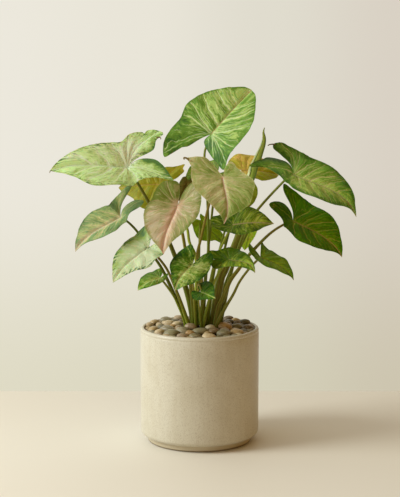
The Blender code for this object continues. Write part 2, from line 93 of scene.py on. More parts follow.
class NodeTree:  # nodes added and joined one by one

    def __init__(self, tree):
        self.nodes, self.links = tree.nodes, tree.links

    def feed(self, socket, value):
        if isinstance(value, bpy.types.NodeSocket):
            self.links.new(value, socket)
        else:
            socket.default_value = value

    def add(self, kind, inputs=(), **settings):
        node = self.nodes.new(kind)
        for key, value in settings.items():
            setattr(node, key, value)
        for key, value in dict(inputs).items():
            self.feed(node.inputs[key], value)
        return node

    def place(self):
        return self.add("ShaderNodeTexCoord").outputs["Object"]

    def attribute(self, name, output="Fac"):
        return self.add("ShaderNodeAttribute", attribute_name=name).outputs[output]

    def maths(self, operation, *values):
        return self.add("ShaderNodeMath", enumerate(values), operation=operation).outputs[0]

    def times(self, *values):
        return self.maths("MULTIPLY", *values)

    def scaled(self, vector, scale):
        node = self.add("ShaderNodeVectorMath", {0: vector, 1: scale}, operation="MULTIPLY")
        return node.outputs[0]

    def joined(self, x, y, z=0.0):
        return self.add("ShaderNodeCombineXYZ", {0: x, 1: y, 2: z}).outputs[0]

    def grain(self, vector, scale, detail=2.0, roughness=0.5):
        inputs = {"Vector": vector, "Scale": scale, "Detail": detail, "Roughness": roughness}
        return self.add("ShaderNodeTexNoise", inputs).outputs["Fac"]

    def cells(self, vector, scale, output="Distance"):
        return self.add("ShaderNodeTexVoronoi", {"Vector": vector, "Scale": scale}).outputs[output]

    def spread(self, value, low, high, start=0.0, end=1.0):
        inputs = {"Value": value, "From Min": low, "From Max": high, "To Min": start, "To Max": end}
        return self.add("ShaderNodeMapRange", inputs, interpolation_type="SMOOTHSTEP").outputs[0]

    def mix(self, share, first, second, blend="MIX"):
        node = self.add("ShaderNodeMix", data_type="RGBA", blend_type=blend, clamp_factor=True)
        self.feed(node.inputs[0], share)
        self.feed(node.inputs[6], first)
        self.feed(node.inputs[7], second)
        return node.outputs[2]

    def over(self, colour, second, value, share=1.0):  # a second colour laid over as much as value says
        return self.mix(self.times(value, share), colour, second)

    def where(self, colour, second, value, low, high, most=1.0):  # laid over as value goes from low to high
        return self.mix(self.spread(value, low, high, 0.0, most), colour, second)

    def ramp(self, value, stops):
        node = self.add("ShaderNodeValToRGB", {"Fac": value})
        band = node.color_ramp
        band.interpolation = "EASE"
        for stop, (at, colour) in enumerate(stops):
            mark = band.elements[stop] if stop < 2 else band.elements.new(at)
            mark.position = at
            mark.color = colour
        return node.outputs["Color"]


class Finish(NodeTree):  # one node material

    def __init__(self, name, **sockets):
        self.material = bpy.data.materials.new(name)
        self.material.use_nodes = True
        super().__init__(self.material.node_tree)
        self.shader = self.nodes["Principled BSDF"]
        for socket, value in sockets.items():
            self.shader.inputs[socket.replace("_", " ")].default_value = value

    def bump(self, height, distance, strength=1.0):
        inputs = {"Height": height, "Distance": distance, "Strength": strength}
        self.feed(self.shader.inputs["Normal"], self.add("ShaderNodeBump", inputs).outputs[0])

    def finished(self, colour, roughness=None):
        self.feed(self.shader.inputs["Base Color"], colour)
        if roughness is not None:
            self.feed(self.shader.inputs["Roughness"], roughness)
        return self.material


def smoothLine(points, count):  # a curve through the points, read at equal steps of its length
    points = [Vector(p) for p in points]
    ends = [2 * points[0] - points[1], *points, 2 * points[-1] - points[-2]]
    fine = []
    for a, b, c, d in zip(ends, ends[1:], ends[2:], ends[3:]):
        for t in [step / 16 for step in range(16)]:
            square = (2 * a - 5 * b + 4 * c - d) * t**2
            cube = (3 * b - a - 3 * c + d) * t**3
            fine.append(0.5 * (2 * b + (c - a) * t + square + cube))
    fine.append(points[-1])
    reach = [0.0]
    for a, b in zip(fine, fine[1:]):
        reach.append(reach[-1] + (b - a).length)
    line = []
    k = 1
    for i in range(count):
        wanted = reach[-1] * i / (count - 1)
        while k < len(reach) - 1 and reach[k] < wanted:
            k += 1
        span = reach[k] - reach[k - 1]
        line.append(fine[k - 1].lerp(fine[k], min(1.0, (wanted - reach[k - 1]) / span)))
    return line


def turned(profile, steps):  # a closed solid, from (radius, height) points that start and end on the axis
    bm = bmesh.new()
    verts = [bm.verts.new((r, 0.0, z)) for r, z in profile]
    edges = [bm.edges.new(pair) for pair in zip(verts, verts[1:])]
    bmesh.ops.spin(
        bm, geom=verts + edges, axis=(0, 0, 1), cent=(0, 0, 0), angle=2 * pi, steps=steps, use_merge=True
    )
    bmesh.ops.remove_doubles(bm, verts=bm.verts, dist=1e-3)
    return bm


def arc(centreR, centreZ, radius, start, end, steps):
    angles = [radians(start + (end - start) * i / steps) for i in range(steps + 1)]
    return [(centreR + radius * cos(a), centreZ + radius * sin(a)) for a in angles]


# The pot: a straight stoneware cover pot with a rounded lip and a recessed foot

potSize = {
    "height": 145.6, "radius": 75.0, "wall": 5.0, "floor": 7.0, "footHeight": 8.3, "footRadius": 66.0,
    "lineBelowLip": 4.8, "lineDepth": 0.6,
    "rounds": (1.5, 6.0, 3.2, 1.6, 4.0),  # of the foot, the base, the lip's outer and inner edge, and inside
}
glazeLook = {
    "body": onScreen(196, 189, 167), "pale": onScreen(203, 197, 177), "warm": onScreen(182, 171, 143),
    "lip": onScreen(200, 192, 170), "speck": onScreen(136, 114, 80), "foot": onScreen(196, 182, 150),
    "clayAndContactShade": onScreen(104, 84, 54),
}


def glazeFinish():
    look, top, foot = glazeLook, potSize["height"], potSize["footHeight"]
    paint = Finish("stoneware glaze", Specular_IOR_Level=0.5)
    at = paint.place()
    height = paint.add("ShaderNodeSeparateXYZ", {0: paint.scaled(at, (1000,) * 3)}).outputs["Z"]  # in mm
    cloud = paint.grain(at, 30, 3)
    runs = paint.grain(paint.scaled(at, (1.0, 1.0, 0.12)), 150, 3, 0.6)
    fine = paint.grain(paint.scaled(at, (1.0, 1.0, 0.45)), 1300, 2)
    speck = paint.cells(at, 520)
    rare = paint.grain(at, 300, 0)
    dots = paint.times(paint.spread(speck, 0.24, 0.12), paint.spread(rare, 0.55, 0.62))
    colour = paint.where(look["body"], look["pale"], cloud, 0.3, 0.7)
    colour = paint.where(colour, look["warm"], runs, 0.42, 0.68, 0.2)
    colour = paint.where(colour, look["speck"], fine, 0.5, 0.68, 0.34)
    colour = paint.over(colour, look["speck"], dots, 0.42)
    colour = paint.where(colour, look["lip"], height, top - 2.4, top - 0.3, 0.7)
    colour = paint.where(colour, look["foot"], height, foot + 0.6, foot - 1.5, 0.8)
    colour = paint.where(colour, look["clayAndContactShade"], height, 2.8, 1.2, 0.85)  # the foot's bottom edge: a bare clay tone that also paints the contact shadow under the foot
    rings = paint.grain(paint.scaled(at, (0.3, 0.3, 1.0)), 240, 2)
    paint.bump(paint.maths("MULTIPLY_ADD", rings, 0.5, paint.times(fine, 0.12)), 0.0006, 0.5)
    return paint.finished(colour, paint.spread(cloud, 0.3, 0.7, 0.32, 0.40))


def buildPot():
    s = potSize
    radius, top, foot, footTop, low = s["radius"], s["height"], s["footRadius"], s["footHeight"], s["floor"]
    chamfer, base, lip, edge, inside = s["rounds"]
    inner, line = radius - s["wall"], top - s["lineBelowLip"]
    profile = [(0.0, 0.6), (40.0, 0.6), (foot - 6.0, 0.5), (foot - 4.5, 0.0)]
    profile += arc(foot - chamfer, chamfer, chamfer, -90, 0, 4)
    profile += [(foot, footTop - 0.6), (foot + 0.6, footTop)]
    profile += arc(radius - base, footTop + base, base, -90, 0, 14)
    profile += [(radius, 20.0 + 12.0 * i) for i in range(10)]
    groove = [(1.5, 0.0), (0.8, 0.5), (0.0, 1.0), (-0.8, 0.5), (-1.5, 0.0)]
    profile += [(radius - s["lineDepth"] * deep, line - up) for up, deep in groove]
    profile += arc(radius - lip, top - lip, lip, 0, 90, 12) + arc(inner + edge, top - edge, edge, 90, 180, 8)
    profile += arc(inner - inside, low + inside, inside, 0, -90, 6) + [(0.0, low)]
    return addPiece("pot_glazed", turned(profile, 144), [glazeFinish()], "pot_glaze", "pot", sharp=50)


# The potting mix, its perlite and bark, and the river pebbles on top

soilSize = {
    "top": 130.4, "radius": 69.7, "bottom": 7.3, "openingAt": (0.5, -3.5), "opening": 30.0, "crown": 18.0,
    "rough": 1.8, "perlite": 90, "bark": 260,
}
soilLook = {
    "dark": onScreen(26, 20, 13), "brown": onScreen(66, 50, 33), "perlite": onScreen(226, 222, 208),
    "perlitePale": onScreen(244, 242, 232), "bark": onScreen(52, 38, 24), "barkPale": onScreen(104, 82, 54),
}


def soilFinish():
    paint = Finish("potting mix", Roughness=0.92, Specular_IOR_Level=0.25)
    crumbs = paint.grain(paint.place(), 420, 4, 0.65)
    paint.bump(crumbs, 0.0016, 0.9)
    return paint.finished(paint.where(soilLook["dark"], soilLook["brown"], crumbs, 0.42, 0.68))


def crumbFinish(name, dark, pale, scale, roughness):
    paint = Finish(name, Roughness=roughness, Specular_IOR_Level=0.3)
    mottle = paint.grain(paint.place(), scale, 3)
    paint.bump(mottle, 0.0005, 0.7)
    return paint.finished(paint.where(dark, pale, mottle, 0.35, 0.7))


def soilTop(x, y):  # the mix lies low under the pebbles and stands up between the stems
    away = hypot(x - soilSize["openingAt"][0], y - soilSize["openingAt"][1])
    crown = soilSize["crown"] * ease(away, soilSize["opening"], soilSize["opening"] - 9)
    rise = lumps(x / 5.5, y / 5.5, 3 / 5.5) + 0.6 * lumps(x / 2.4, y / 2.4, 9 / 2.4)
    return soilSize["top"] + crown + soilSize["rough"] * rise * ease(away, 68, 56)


def buildSoil():
    s = soilSize
    profile = [(0.0, s["bottom"]), (s["radius"] - 4.3, s["bottom"]), (s["radius"], s["bottom"] + 4.3)]
    profile += [(s["radius"], s["top"] - 1.0)] + [(s["radius"] * i / 40, s["top"]) for i in range(40, -1, -1)]
    bm = turned(profile, 96)
    for vert in bm.verts:
        if vert.co.z > s["top"] - 0.5:
            vert.co.z = soilTop(vert.co.x, vert.co.y)
    return addPiece("soil_mix", bm, [soilFinish()], "potting_soil", "soil", sharp=60)


def scatter(name, finish, count, seed, size, flat, reach):
    rng = Random(seed)
    bm = bmesh.new()
    for _ in range(count):
        away = reach * rng.random() ** 0.55
        turn = rng.uniform(0, 2 * pi)
        x = soilSize["openingAt"][0] + away * cos(turn)
        y = soilSize["openingAt"][1] + away * sin(turn)
        half = rng.uniform(*size)
        spin = Matrix.Rotation(rng.uniform(0, pi), 4, "Z") @ Matrix.Rotation(rng.uniform(-0.6, 0.6), 4, "X")
        shape = Matrix.Diagonal((half, half * rng.uniform(*flat), half * rng.uniform(*flat), 1.0))
        place = Matrix.Translation((x, y, soilTop(x, y) + half * 0.25))
        made = bmesh.ops.create_icosphere(bm, subdivisions=1, radius=1.0, matrix=place @ spin @ shape)
        for vert in made["verts"]:
            vert.co += noise.noise_vector(vert.co * 2.1) * half * 0.22
    return addPiece(name, bm, [finish], "potting_soil", sharp=35)


# Leaves: each one's blade is drawn flat in mm, as (along the midrib, out from it), and then bent into place

bladeMesh = {
    "points": 72, "rings": 26, "margin": 241, "thickness": 0.55, "lobeSway": 12.0, "ribReach": 0.86,
    "ribOffset": 0.15, "jagged": 0.5, "waves": 11,
}
# fold: degrees that each half is turned up, the rest in mm: how far the lobes rise, how high the blade arches
# along its midrib, how far its tip bows and its lobes sway to the side, and how its edges curl and wave
bladeBend = {"fold": (5, 5), "lift": (0, 0), "arch": 3, "bow": 0, "sway": 0, "cup": -2, "wave": 0.8}
bladeRelief = {"wander": 0.16, "quilt": 0.075, "quiltMost": 0.8, "groove": 0.7, "ruffle": 0.7}
# side veins: start on the midrib, end along and out from it, all from the lobe to the tip, and how strong
plainVeins = [  # in shares of the length and the width, for a leaf that has no list of its own
    (0, -0.24, 0.6, 0.5), (0, 0.02, 0.9, 0.6), (0.08, 0.28, 0.9, 0.7), (0.27, 0.5, 0.66, 0.6),
    (0.5, 0.75, 0.36, 0.5),
]
veinForm = {"lean": 0.35, "rise": 0.55, "steps": 7, "beyond": 1.2, "nextOne": 12.0}


class Blade:

    def __init__(self, leaf):
        self.joint = Vector(leaf["joint"])
        self.length = (Vector(leaf["tip"]) - self.joint).length
        self.along = (Vector(leaf["tip"]) - self.joint).normalized()
        level = self.along.cross(Vector((0, 0, 1))).normalized()
        self.across = Matrix.Rotation(radians(leaf["roll"]), 3, self.along) @ level
        self.up = self.across.cross(self.along)
        self.bend = {**bladeBend, **leaf}
        self.margin = KDTree(2 * bladeMesh["margin"])
        self.halves = {}
        for i, (side, key) in enumerate(((-1, "left"), (1, "right"))):
            drawn = [(self.length, 0), *leaf[key], (0, 0)]
            self.halves[side] = {
                "outline": smoothLine(drawn, bladeMesh["points"] + 1),
                "fold": radians(self.bend["fold"][i]),
                "lift": self.bend["lift"][i],
                "width": max(b for _, b in leaf[key]),
                "back": min(a for a, _ in leaf[key]),
            }
            for k, (a, b) in enumerate(smoothLine(drawn, bladeMesh["margin"])):
                self.margin.insert((a, side * b, 0), bladeMesh["margin"] * i + k)
            width = self.halves[side]["width"]
            plain = [(s * self.length, a * self.length, b * width, power) for s, a, b, power in plainVeins]
            own = leaf["veins"][i] if "veins" in leaf else plain
            self.halves[side]["veins"] = [(self.veinLine(*line[:3]), line[3]) for line in own]
        self.margin.balance()

    def veinLine(self, start, a, b):  # a curve that leaves the midrib and bends to its end
        v = veinForm
        first, last = Vector((start, 0)), Vector((a, b))
        middle = Vector((start + v["lean"] * (a - start), v["rise"] * b))
        shares = [v["beyond"] * i / v["steps"] for i in range(v["steps"] + 1)]
        return [first.lerp(middle, t).lerp(middle.lerp(last, t), t) for t in shares]

    def point(self, side, a, b, ripple=0.0):  # where a flat point of one half lies in space
        bend, half = self.bend, self.halves[side]
        t = a / self.length
        rise = b * sin(half["fold"]) + ripple + bend["cup"] * (b / half["width"]) ** 2
        if a >= 0:
            rise += 4 * bend["arch"] * t * (1 - t)
            shift = 6.75 * bend["bow"] * t * t * (1 - t)  # at most the bow itself, two thirds along
        else:
            rise += 4 * bend["arch"] * t + half["lift"] * (a / half["back"]) ** 1.5
            shift = bend["sway"] * tanh(-a / bladeMesh["lobeSway"])
        out = side * b * cos(half["fold"]) + shift
        return self.joint + self.along * a + self.across * out + self.up * rise

    def veins(self, side, a, b):  # whole numbers lie on side veins; then the mm between two, and the strength
        behind, ahead = None, None
        passed = -1
        for line, power in self.halves[side]["veins"]:
            nearest, tipward = 1e9, False
            for p, q in zip(line, line[1:]):
                x, y, u, v = a - p.x, b - p.y, q.x - p.x, q.y - p.y
                t = min(1.0, max(0.0, (x * u + y * v) / (u * u + v * v)))
                away = hypot(x - t * u, y - t * v)
                if away < nearest:
                    nearest, tipward = away, x * v > y * u
            if not tipward:
                ahead = (nearest, power)
                break
            behind = (nearest, power)
            passed += 1
        if behind and ahead:
            gap = behind[0] + ahead[0] + 0.01
            return passed + behind[0] / gap, gap, min(behind, ahead)[1]
        near, power = behind or ahead
        share = min(0.46, near / veinForm["nextOne"])
        return (passed + share if behind else -share), veinForm["nextOne"], power


leafLayers = ("veins", "gap", "gain", "soft", "edge", "mid", "under", "ridge")  # numbers kept at each corner


def growBlade(bm, blade, seed):
    points, rings, r = bladeMesh["points"], bladeMesh["rings"], bladeRelief
    layer = {key: bm.verts.layers.float[key] for key in leafLayers[:-1]}
    flat = bm.verts.layers.float_vector["flat"]
    toneAndShadePatches = blade.bend.get("toneAndShadePatches", [])
    grid = bmesh.ops.create_grid(bm, x_segments=2 * points, y_segments=rings, size=1.0)["verts"]
    for vert in grid:
        column = round((vert.co.x + 1) * points)
        ring = round((vert.co.y + 1) / 2 * rings) / rings
        side = -1 if column < points else 1
        step = abs(column - points)
        a, b = blade.halves[side]["outline"][step] * ring
        away = hypot(a, b)
        if away > 5:
            uneven = lumps(a / 7, b / 7, seed * 2.3 + side) + 0.6 * lumps(a / 2.6, b / 2.6, seed)
            uneven *= bladeMesh["jagged"] * ring**6 * ease(b, 1, 4)
            a, b = a * (1 + uneven / away), b * (1 + uneven / away)
        k = step / points
        ripple = blade.bend["wave"] * sin(2.4 * bladeMesh["waves"] * k + side) * ring**2 * sin(pi * k)
        edge = blade.margin.find((a, side * b, 0))[2]
        mid = b if a >= 0 else hypot(a, b)
        turn, gap, gain = blade.veins(side, a, b)
        turn += r["wander"] * lumps(a / 17, side * b / 17, seed * 3.7) * ease(mid, 1, 9)
        # the patches: the leaf's own paler and darker areas, with painted light where the blade turns away
        # from the light and painted shade where it faces it
        soft = sum(more * exp(-hypot(a - u, side * b - v) ** 2 / wide**2) for u, v, wide, more in toneAndShadePatches)
        quilt = min(r["quiltMost"], r["quilt"] * gap) * sin(pi * turn) ** 2
        ripple += quilt * ease(edge, 0.5, 7) * ease(mid, 0.5, 4)
        ripple -= r["groove"] * exp(-((mid / 1.6) ** 2)) * ease(edge, 0, 4)
        ripple += r["ruffle"] * lumps(a / 13, side * b / 13, seed * 5.1 + 40) * ring**2
        vert.co = blade.point(side, a, b, ripple)
        vert[flat] = (a / 10, side * b / 10, seed * 3.0)
        for key, value in zip(leafLayers, (turn, gap, gain, soft, edge, mid)):
            vert[layer[key]] = value
    bmesh.ops.remove_doubles(bm, verts=grid, dist=1e-4)
    bmesh.ops.dissolve_degenerate(bm, edges=bm.edges, dist=1e-4)
    bmesh.ops.triangulate(bm, faces=bm.faces)
    lower = bmesh.ops.extrude_face_region(bm, geom=bm.faces[:], use_keep_orig=True)["geom"]
    moved = [item for item in lower if isinstance(item, bmesh.types.BMVert)]
    bmesh.ops.translate(bm, vec=blade.up * -bladeMesh["thickness"], verts=moved)
    for vert in moved:
        vert[layer["under"]] = 1.0


# Stalks: a tapering tube with a grooved sheath low down, which goes on under the blade as its midrib

stalkForm = {
    "taper": (1.0, 0.8, 0.62, 0.5), "rib": (1.5, 0.7), "ribTip": 0.25, "sides": 24, "step": 4.5,
    "sheath": 0.46, "ridge": 0.20, "ridgeAt": 0.62, "groove": 0.20, "depth": 22.0,
}


def growTube(bm, line, radiusAt, sides, formAt, material=0):
    steps = len(line) - 1
    reach = [0.0]
    for a, b in zip(line, line[1:]):
        reach.append(reach[-1] + (b - a).length)
    headings = [(line[min(k + 1, steps)] - line[max(k - 1, 0)]).normalized() for k in range(steps + 1)]
    lean = Vector((line[0].x - line[steps * 2 // 3].x, line[0].y - line[steps * 2 // 3].y, 0.01))
    outs = [(lean - lean.dot(headings[0]) * headings[0]).normalized()]
    for before, now in zip(headings, headings[1:]):
        outs.append(before.rotation_difference(now) @ outs[-1])
    around, ridge = bm.verts.layers.float_vector["around"], bm.verts.layers.float["ridge"]
    known = set(bm.faces)
    grid = bmesh.ops.create_grid(bm, x_segments=sides, y_segments=steps, size=1.0)["verts"]
    for vert in grid:
        turn = (vert.co.x + 1) * pi
        k = round((vert.co.y + 1) / 2 * steps)
        form, mark = formAt(reach[k] / reach[-1], turn)
        ray = outs[k] * cos(turn) + headings[k].cross(outs[k]) * sin(turn)
        vert.co = line[k] + ray * (radiusAt(reach[k]) * form)
        vert[around] = (cos(turn), sin(turn), reach[k] / 10)
        vert[ridge] = mark
    bmesh.ops.remove_doubles(bm, verts=grid, dist=1e-4)
    bmesh.ops.holes_fill(bm, edges=[edge for edge in bm.edges if edge.is_boundary])
    for face in bm.faces:
        if face not in known:
            face.material_index = material


def footPoints(x, y):  # a stalk's foot stands straight in the soil
    return [(x, y, soilSize["top"] + up) for up in (-stalkForm["depth"], 1, 9)]


def sheathForm(share, turn):  # the sheath's two edges stand up on both sides of a groove
    s = stalkForm
    fade = ease(share, s["sheath"], s["sheath"] - 0.1) * ease(share, 0.06, 0.14)
    away = abs((turn + pi) % (2 * pi) - pi)
    ridge = exp(-(((away - s["ridgeAt"]) / 0.24) ** 2)) * fade
    groove = exp(-((away / 0.36) ** 2)) * fade
    return 1 + s["ridge"] * ridge - s["groove"] * groove, ridge


def steppedRadius(radii, whole, last):
    def radiusAt(reach):
        place = reach / whole * (len(radii) - 1)
        if place >= len(radii) - 1:
            return max(last, radii[-1] - (radii[-1] - last) * (place - len(radii) + 1) / 2.2)
        k = int(place)
        return radii[k] + (radii[k + 1] - radii[k]) * (place - k)
    return radiusAt


def lineLength(points):
    return sum((b - a).length for a, b in zip(points, points[1:]))


def growStalk(bm, leaf, blade):
    s = stalkForm
    shares = [0, 0.21, 0.42, 0.64, bladeMesh["ribReach"]]
    sizes = [*s["rib"][:1], 1.1, s["rib"][1], 0.5, s["ribTip"]]
    ribs = []
    for share, size in zip(shares, sizes):
        sunk = size + bladeRelief["groove"] + bladeMesh["ribOffset"]
        ribs.append(blade.point(1, blade.length * share, 0) - blade.up * sunk)
    points = [*footPoints(*leaf["foot"]), *leaf["via"], *ribs]
    line = smoothLine(points, 60)
    whole = lineLength(smoothLine(points[:-2], 60))
    line = smoothLine(points, round(lineLength(line) / s["step"]))
    radii = [leaf["thick"] * share for share in s["taper"]] + list(s["rib"])
    growTube(bm, line, steppedRadius(radii, whole, s["ribTip"]), s["sides"], sheathForm, material=1)


leafDepth = {"Subsurface_Weight": 0.2, "Subsurface_Scale": 0.002}  # a little light goes through


def leafFinish(name, look):
    paint = Finish(name + " blade", Specular_IOR_Level=look["shine"], **leafDepth)
    times, spread = paint.times, paint.spread
    flat = paint.attribute("flat", "Vector")
    across = paint.add("ShaderNodeSeparateXYZ", {0: flat}).outputs[1]
    turn, gap, gain, soft, edge, mid = (paint.attribute(key) for key in leafLayers[:6])
    wobble = paint.maths("SUBTRACT", paint.grain(flat, 1.5, 3), 0.5)
    turn = paint.maths("MULTIPLY_ADD", wobble, look["wobble"], turn)
    nearest = paint.maths("ABSOLUTE", paint.maths("SUBTRACT", paint.maths("FRACT", turn), 0.5))
    nearest = paint.maths("SUBTRACT", 0.5, nearest)  # 0 on a side vein, 0.5 half way to the next
    between = times(nearest, gap)
    outward = paint.maths("DIVIDE", mid, paint.maths("ADD", mid, paint.maths("ADD", edge, 0.2)))
    taper = times(gain, spread(outward, 1.0, 0.1, 0.25, 1.0))
    feather = paint.joined(turn, times(mid, 0.012), times(across, 0.12))
    streak = paint.maths("SUBTRACT", paint.grain(feather, look["streakScale"], 3, 0.6), 0.5)
    broad = paint.maths("SUBTRACT", paint.grain(feather, 2.4, 2), 0.5)
    mottle = paint.grain(flat, look["mottleScale"], 3, 0.6)
    broken = times(taper, spread(mottle, 0.38, 0.6, 0.45, 1.0))
    # soft holds the patches, which carry painted light and shade along with the leaf's own tone
    pale = paint.maths("ADD", soft, look["bias"])
    for amount, share in (
        (times(spread(between, look["haloReach"], 0.1), broken), look["veinHalo"]),
        (spread(mid, look["ribReach"], 0.8), look["ribHalo"]),
        (streak, 2 * look["streak"]),
        (broad, 2 * look["patch"]),
        (paint.maths("SUBTRACT", mottle, 0.5), 2 * look["mottle"]),
        (spread(edge, look["edgeReach"], 0.2), -look["edgeShade"]),
        (across, look["drift"]),
    ):
        pale = paint.maths("MULTIPLY_ADD", amount, share, pale)
    colour = paint.ramp(pale, list(zip((0.0, 0.36, 0.7, 1.0), look["tones"])))
    if look["blush"]:
        rosy = paint.maths("ADD", streak, spread(mid, look["blushReach"], 1.0))
        colour = paint.over(colour, look["blush"], spread(rosy, 0.1, 1.0), look["blushShare"])
    if look["flecks"]:
        rim = spread(edge, look["fleckReach"], 0.5, look["fleckInside"], 1.0)
        spots = paint.grain(paint.joined(turn, times(mid, 0.05), across), look["fleckScale"], 2)
        spots = times(spread(spots, look["fleckFrom"], look["fleckFrom"] + 0.06), rim)
        colour = paint.over(colour, look["fleck"], spots, look["flecks"])
    inset = spread(edge, 0.6, 3.5)
    wide = times(spread(outward, 1.0, 0.0, 0.35, 1.0), look["veinWidth"])
    line = paint.add("ShaderNodeMapRange", {0: between, 1: wide, 2: 0.1, 3: 0.0, 4: 1.0}).outputs[0]
    line = times(times(line, gain), inset)
    colour = paint.over(colour, look["vein"], line, look["veinShare"])
    thirds = paint.maths("SUBTRACT", paint.maths("FRACT", times(turn, look["fineVeins"])), 0.5)
    thirds = paint.maths("SUBTRACT", 0.5, paint.maths("ABSOLUTE", thirds))
    thirds = times(thirds, paint.maths("DIVIDE", gap, look["fineVeins"]))
    shown = times(spread(paint.grain(feather, 3.4, 1), 0.38, 0.58), inset)
    fine = times(spread(thirds, 0.55, 0.1), shown)
    colour = paint.over(colour, look["vein"], fine, look["fineShare"])
    colour = paint.over(colour, look["rib"], spread(mid, look["ribWidth"], 0.3), look["ribShare"])
    cell = paint.cells(flat, 15)
    colour = paint.mix(spread(cell, 0.0, 0.6, 0.10, 0.0), colour, look["tones"][0])
    colour = paint.over(colour, look["under"], paint.attribute("under"), 0.62)
    height = paint.maths("MULTIPLY_ADD", cell, 0.3, times(line, -look["veinSunk"]))
    height = paint.maths("MULTIPLY_ADD", fine, -0.3, paint.maths("MULTIPLY_ADD", streak, 0.5, height))
    paint.bump(height, 0.0006, 0.8)
    return paint.finished(colour, spread(mottle, 0.3, 0.7, 0.40, 0.55))


def stalkFinish(name, look):
    paint = Finish(name + " stalk", Specular_IOR_Level=0.12, Subsurface_Weight=0.1, Subsurface_Scale=0.002)
    around = paint.attribute("around", "Vector")
    reach = paint.add("ShaderNodeSeparateXYZ", {0: around}).outputs[2]
    broad = paint.grain(paint.scaled(around, (0.8, 0.8, 0.10)), 1.6, 2)
    lines = paint.grain(paint.scaled(around, (6.0, 6.0, 0.12)), 1.4, 2)
    # base is the stalk's colour low down; on the stalks in the middle of the bundle it is darker as painted
    # shade
    colour = paint.where(look["base"], look["stalk"], reach, 2.5, 12.0)
    colour = paint.over(colour, look["brown"], paint.spread(broad, 0.40, 0.62), look["brownShare"])
    colour = paint.where(colour, look["stalkPale"], lines, 0.38, 0.68, 0.45)
    colour = paint.over(colour, look["stalkPale"], paint.attribute("ridge"), 0.55)
    paint.bump(lines, 0.0004, 0.5)
    return paint.finished(colour, paint.spread(broad, 0.3, 0.7, 0.36, 0.5))


def buildLeaf(name, leaf, seed):
    look = {**leafLook, **leaf}
    for key in ("vein", "rib", "fleck", "under", "blush", "stalk", "base", "brown", "stalkPale"):
        if look[key]:
            look[key] = onScreen(*look[key])
    tint = (*look["tint"], 1)
    look["tones"] = [[min(0.9, c * t) for c, t in zip(onScreen(*tone), tint)] for tone in look["tones"]]
    blade = Blade(leaf)
    bm = newMesh(leafLayers, ("flat", "around"))
    growBlade(bm, blade, seed)
    growStalk(bm, leaf, blade)
    finishes = [leafFinish(name, look), stalkFinish(name, look)]
    node = None if name == "leaf_tucked" else name  # that one has no solid of its own
    piece = name.replace("leaf_", "blade_")
    return addPiece(piece, bm, finishes, leaf.get("slot", "leaf_green"), node, sharp=50)


# Each leaf, in mm: its foot in the soil, its stalk's thickness and points (via), where stalk and blade join,
# the blade's tip and its roll about that line. left and right are the halves' outlines, (along, out) from the
# tip round to the joint, veins are both halves' side veins, and patches (along, across, how wide, how much
# paler): the leaf's own paler and darker areas together with painted light where a part of the blade turns
# away from the light and painted shade where it faces it. Then its look: tones run from the deepest green to
# the palest patch, as seen on a screen, and tint multiplies them. base, the stalk's colour low down, is
# darker on the stalks in the middle of the bundle as painted shade. What a leaf leaves out it takes from
# bladeBend and leafLook.

leafLook = {  # shares from 0 to 1, reaches and widths in mm
    "bias": 0.42, "veinHalo": 0.4, "haloReach": 3.0, "ribHalo": 0.12, "ribReach": 5, "streak": 0.65,
    "streakScale": 8.0, "patch": 0.35, "mottle": 0.3, "mottleScale": 3.2, "fineVeins": 3, "fineShare": 0.4,
    "edgeShade": 0.12, "edgeReach": 2.5, "wobble": 0.35, "drift": 0.0, "flecks": 0, "fleckScale": 5,
    "fleckReach": 9, "fleckInside": 0.15, "fleckFrom": 0.54, "fleck": (52, 92, 22), "blush": None,
    "blushReach": 10, "blushShare": 0.8, "veinWidth": 1.3, "veinShare": 0.4, "veinSunk": 0.6, "ribWidth": 0.9,
    "ribShare": 0.8, "tint": (1, 1, 1), "shine": 0.2, "under": (150, 172, 108), "stalk": (104, 122, 30),
    "base": (112, 140, 32), "brown": (112, 82, 30), "brownShare": 0.45, "stalkPale": (168, 180, 76),
}
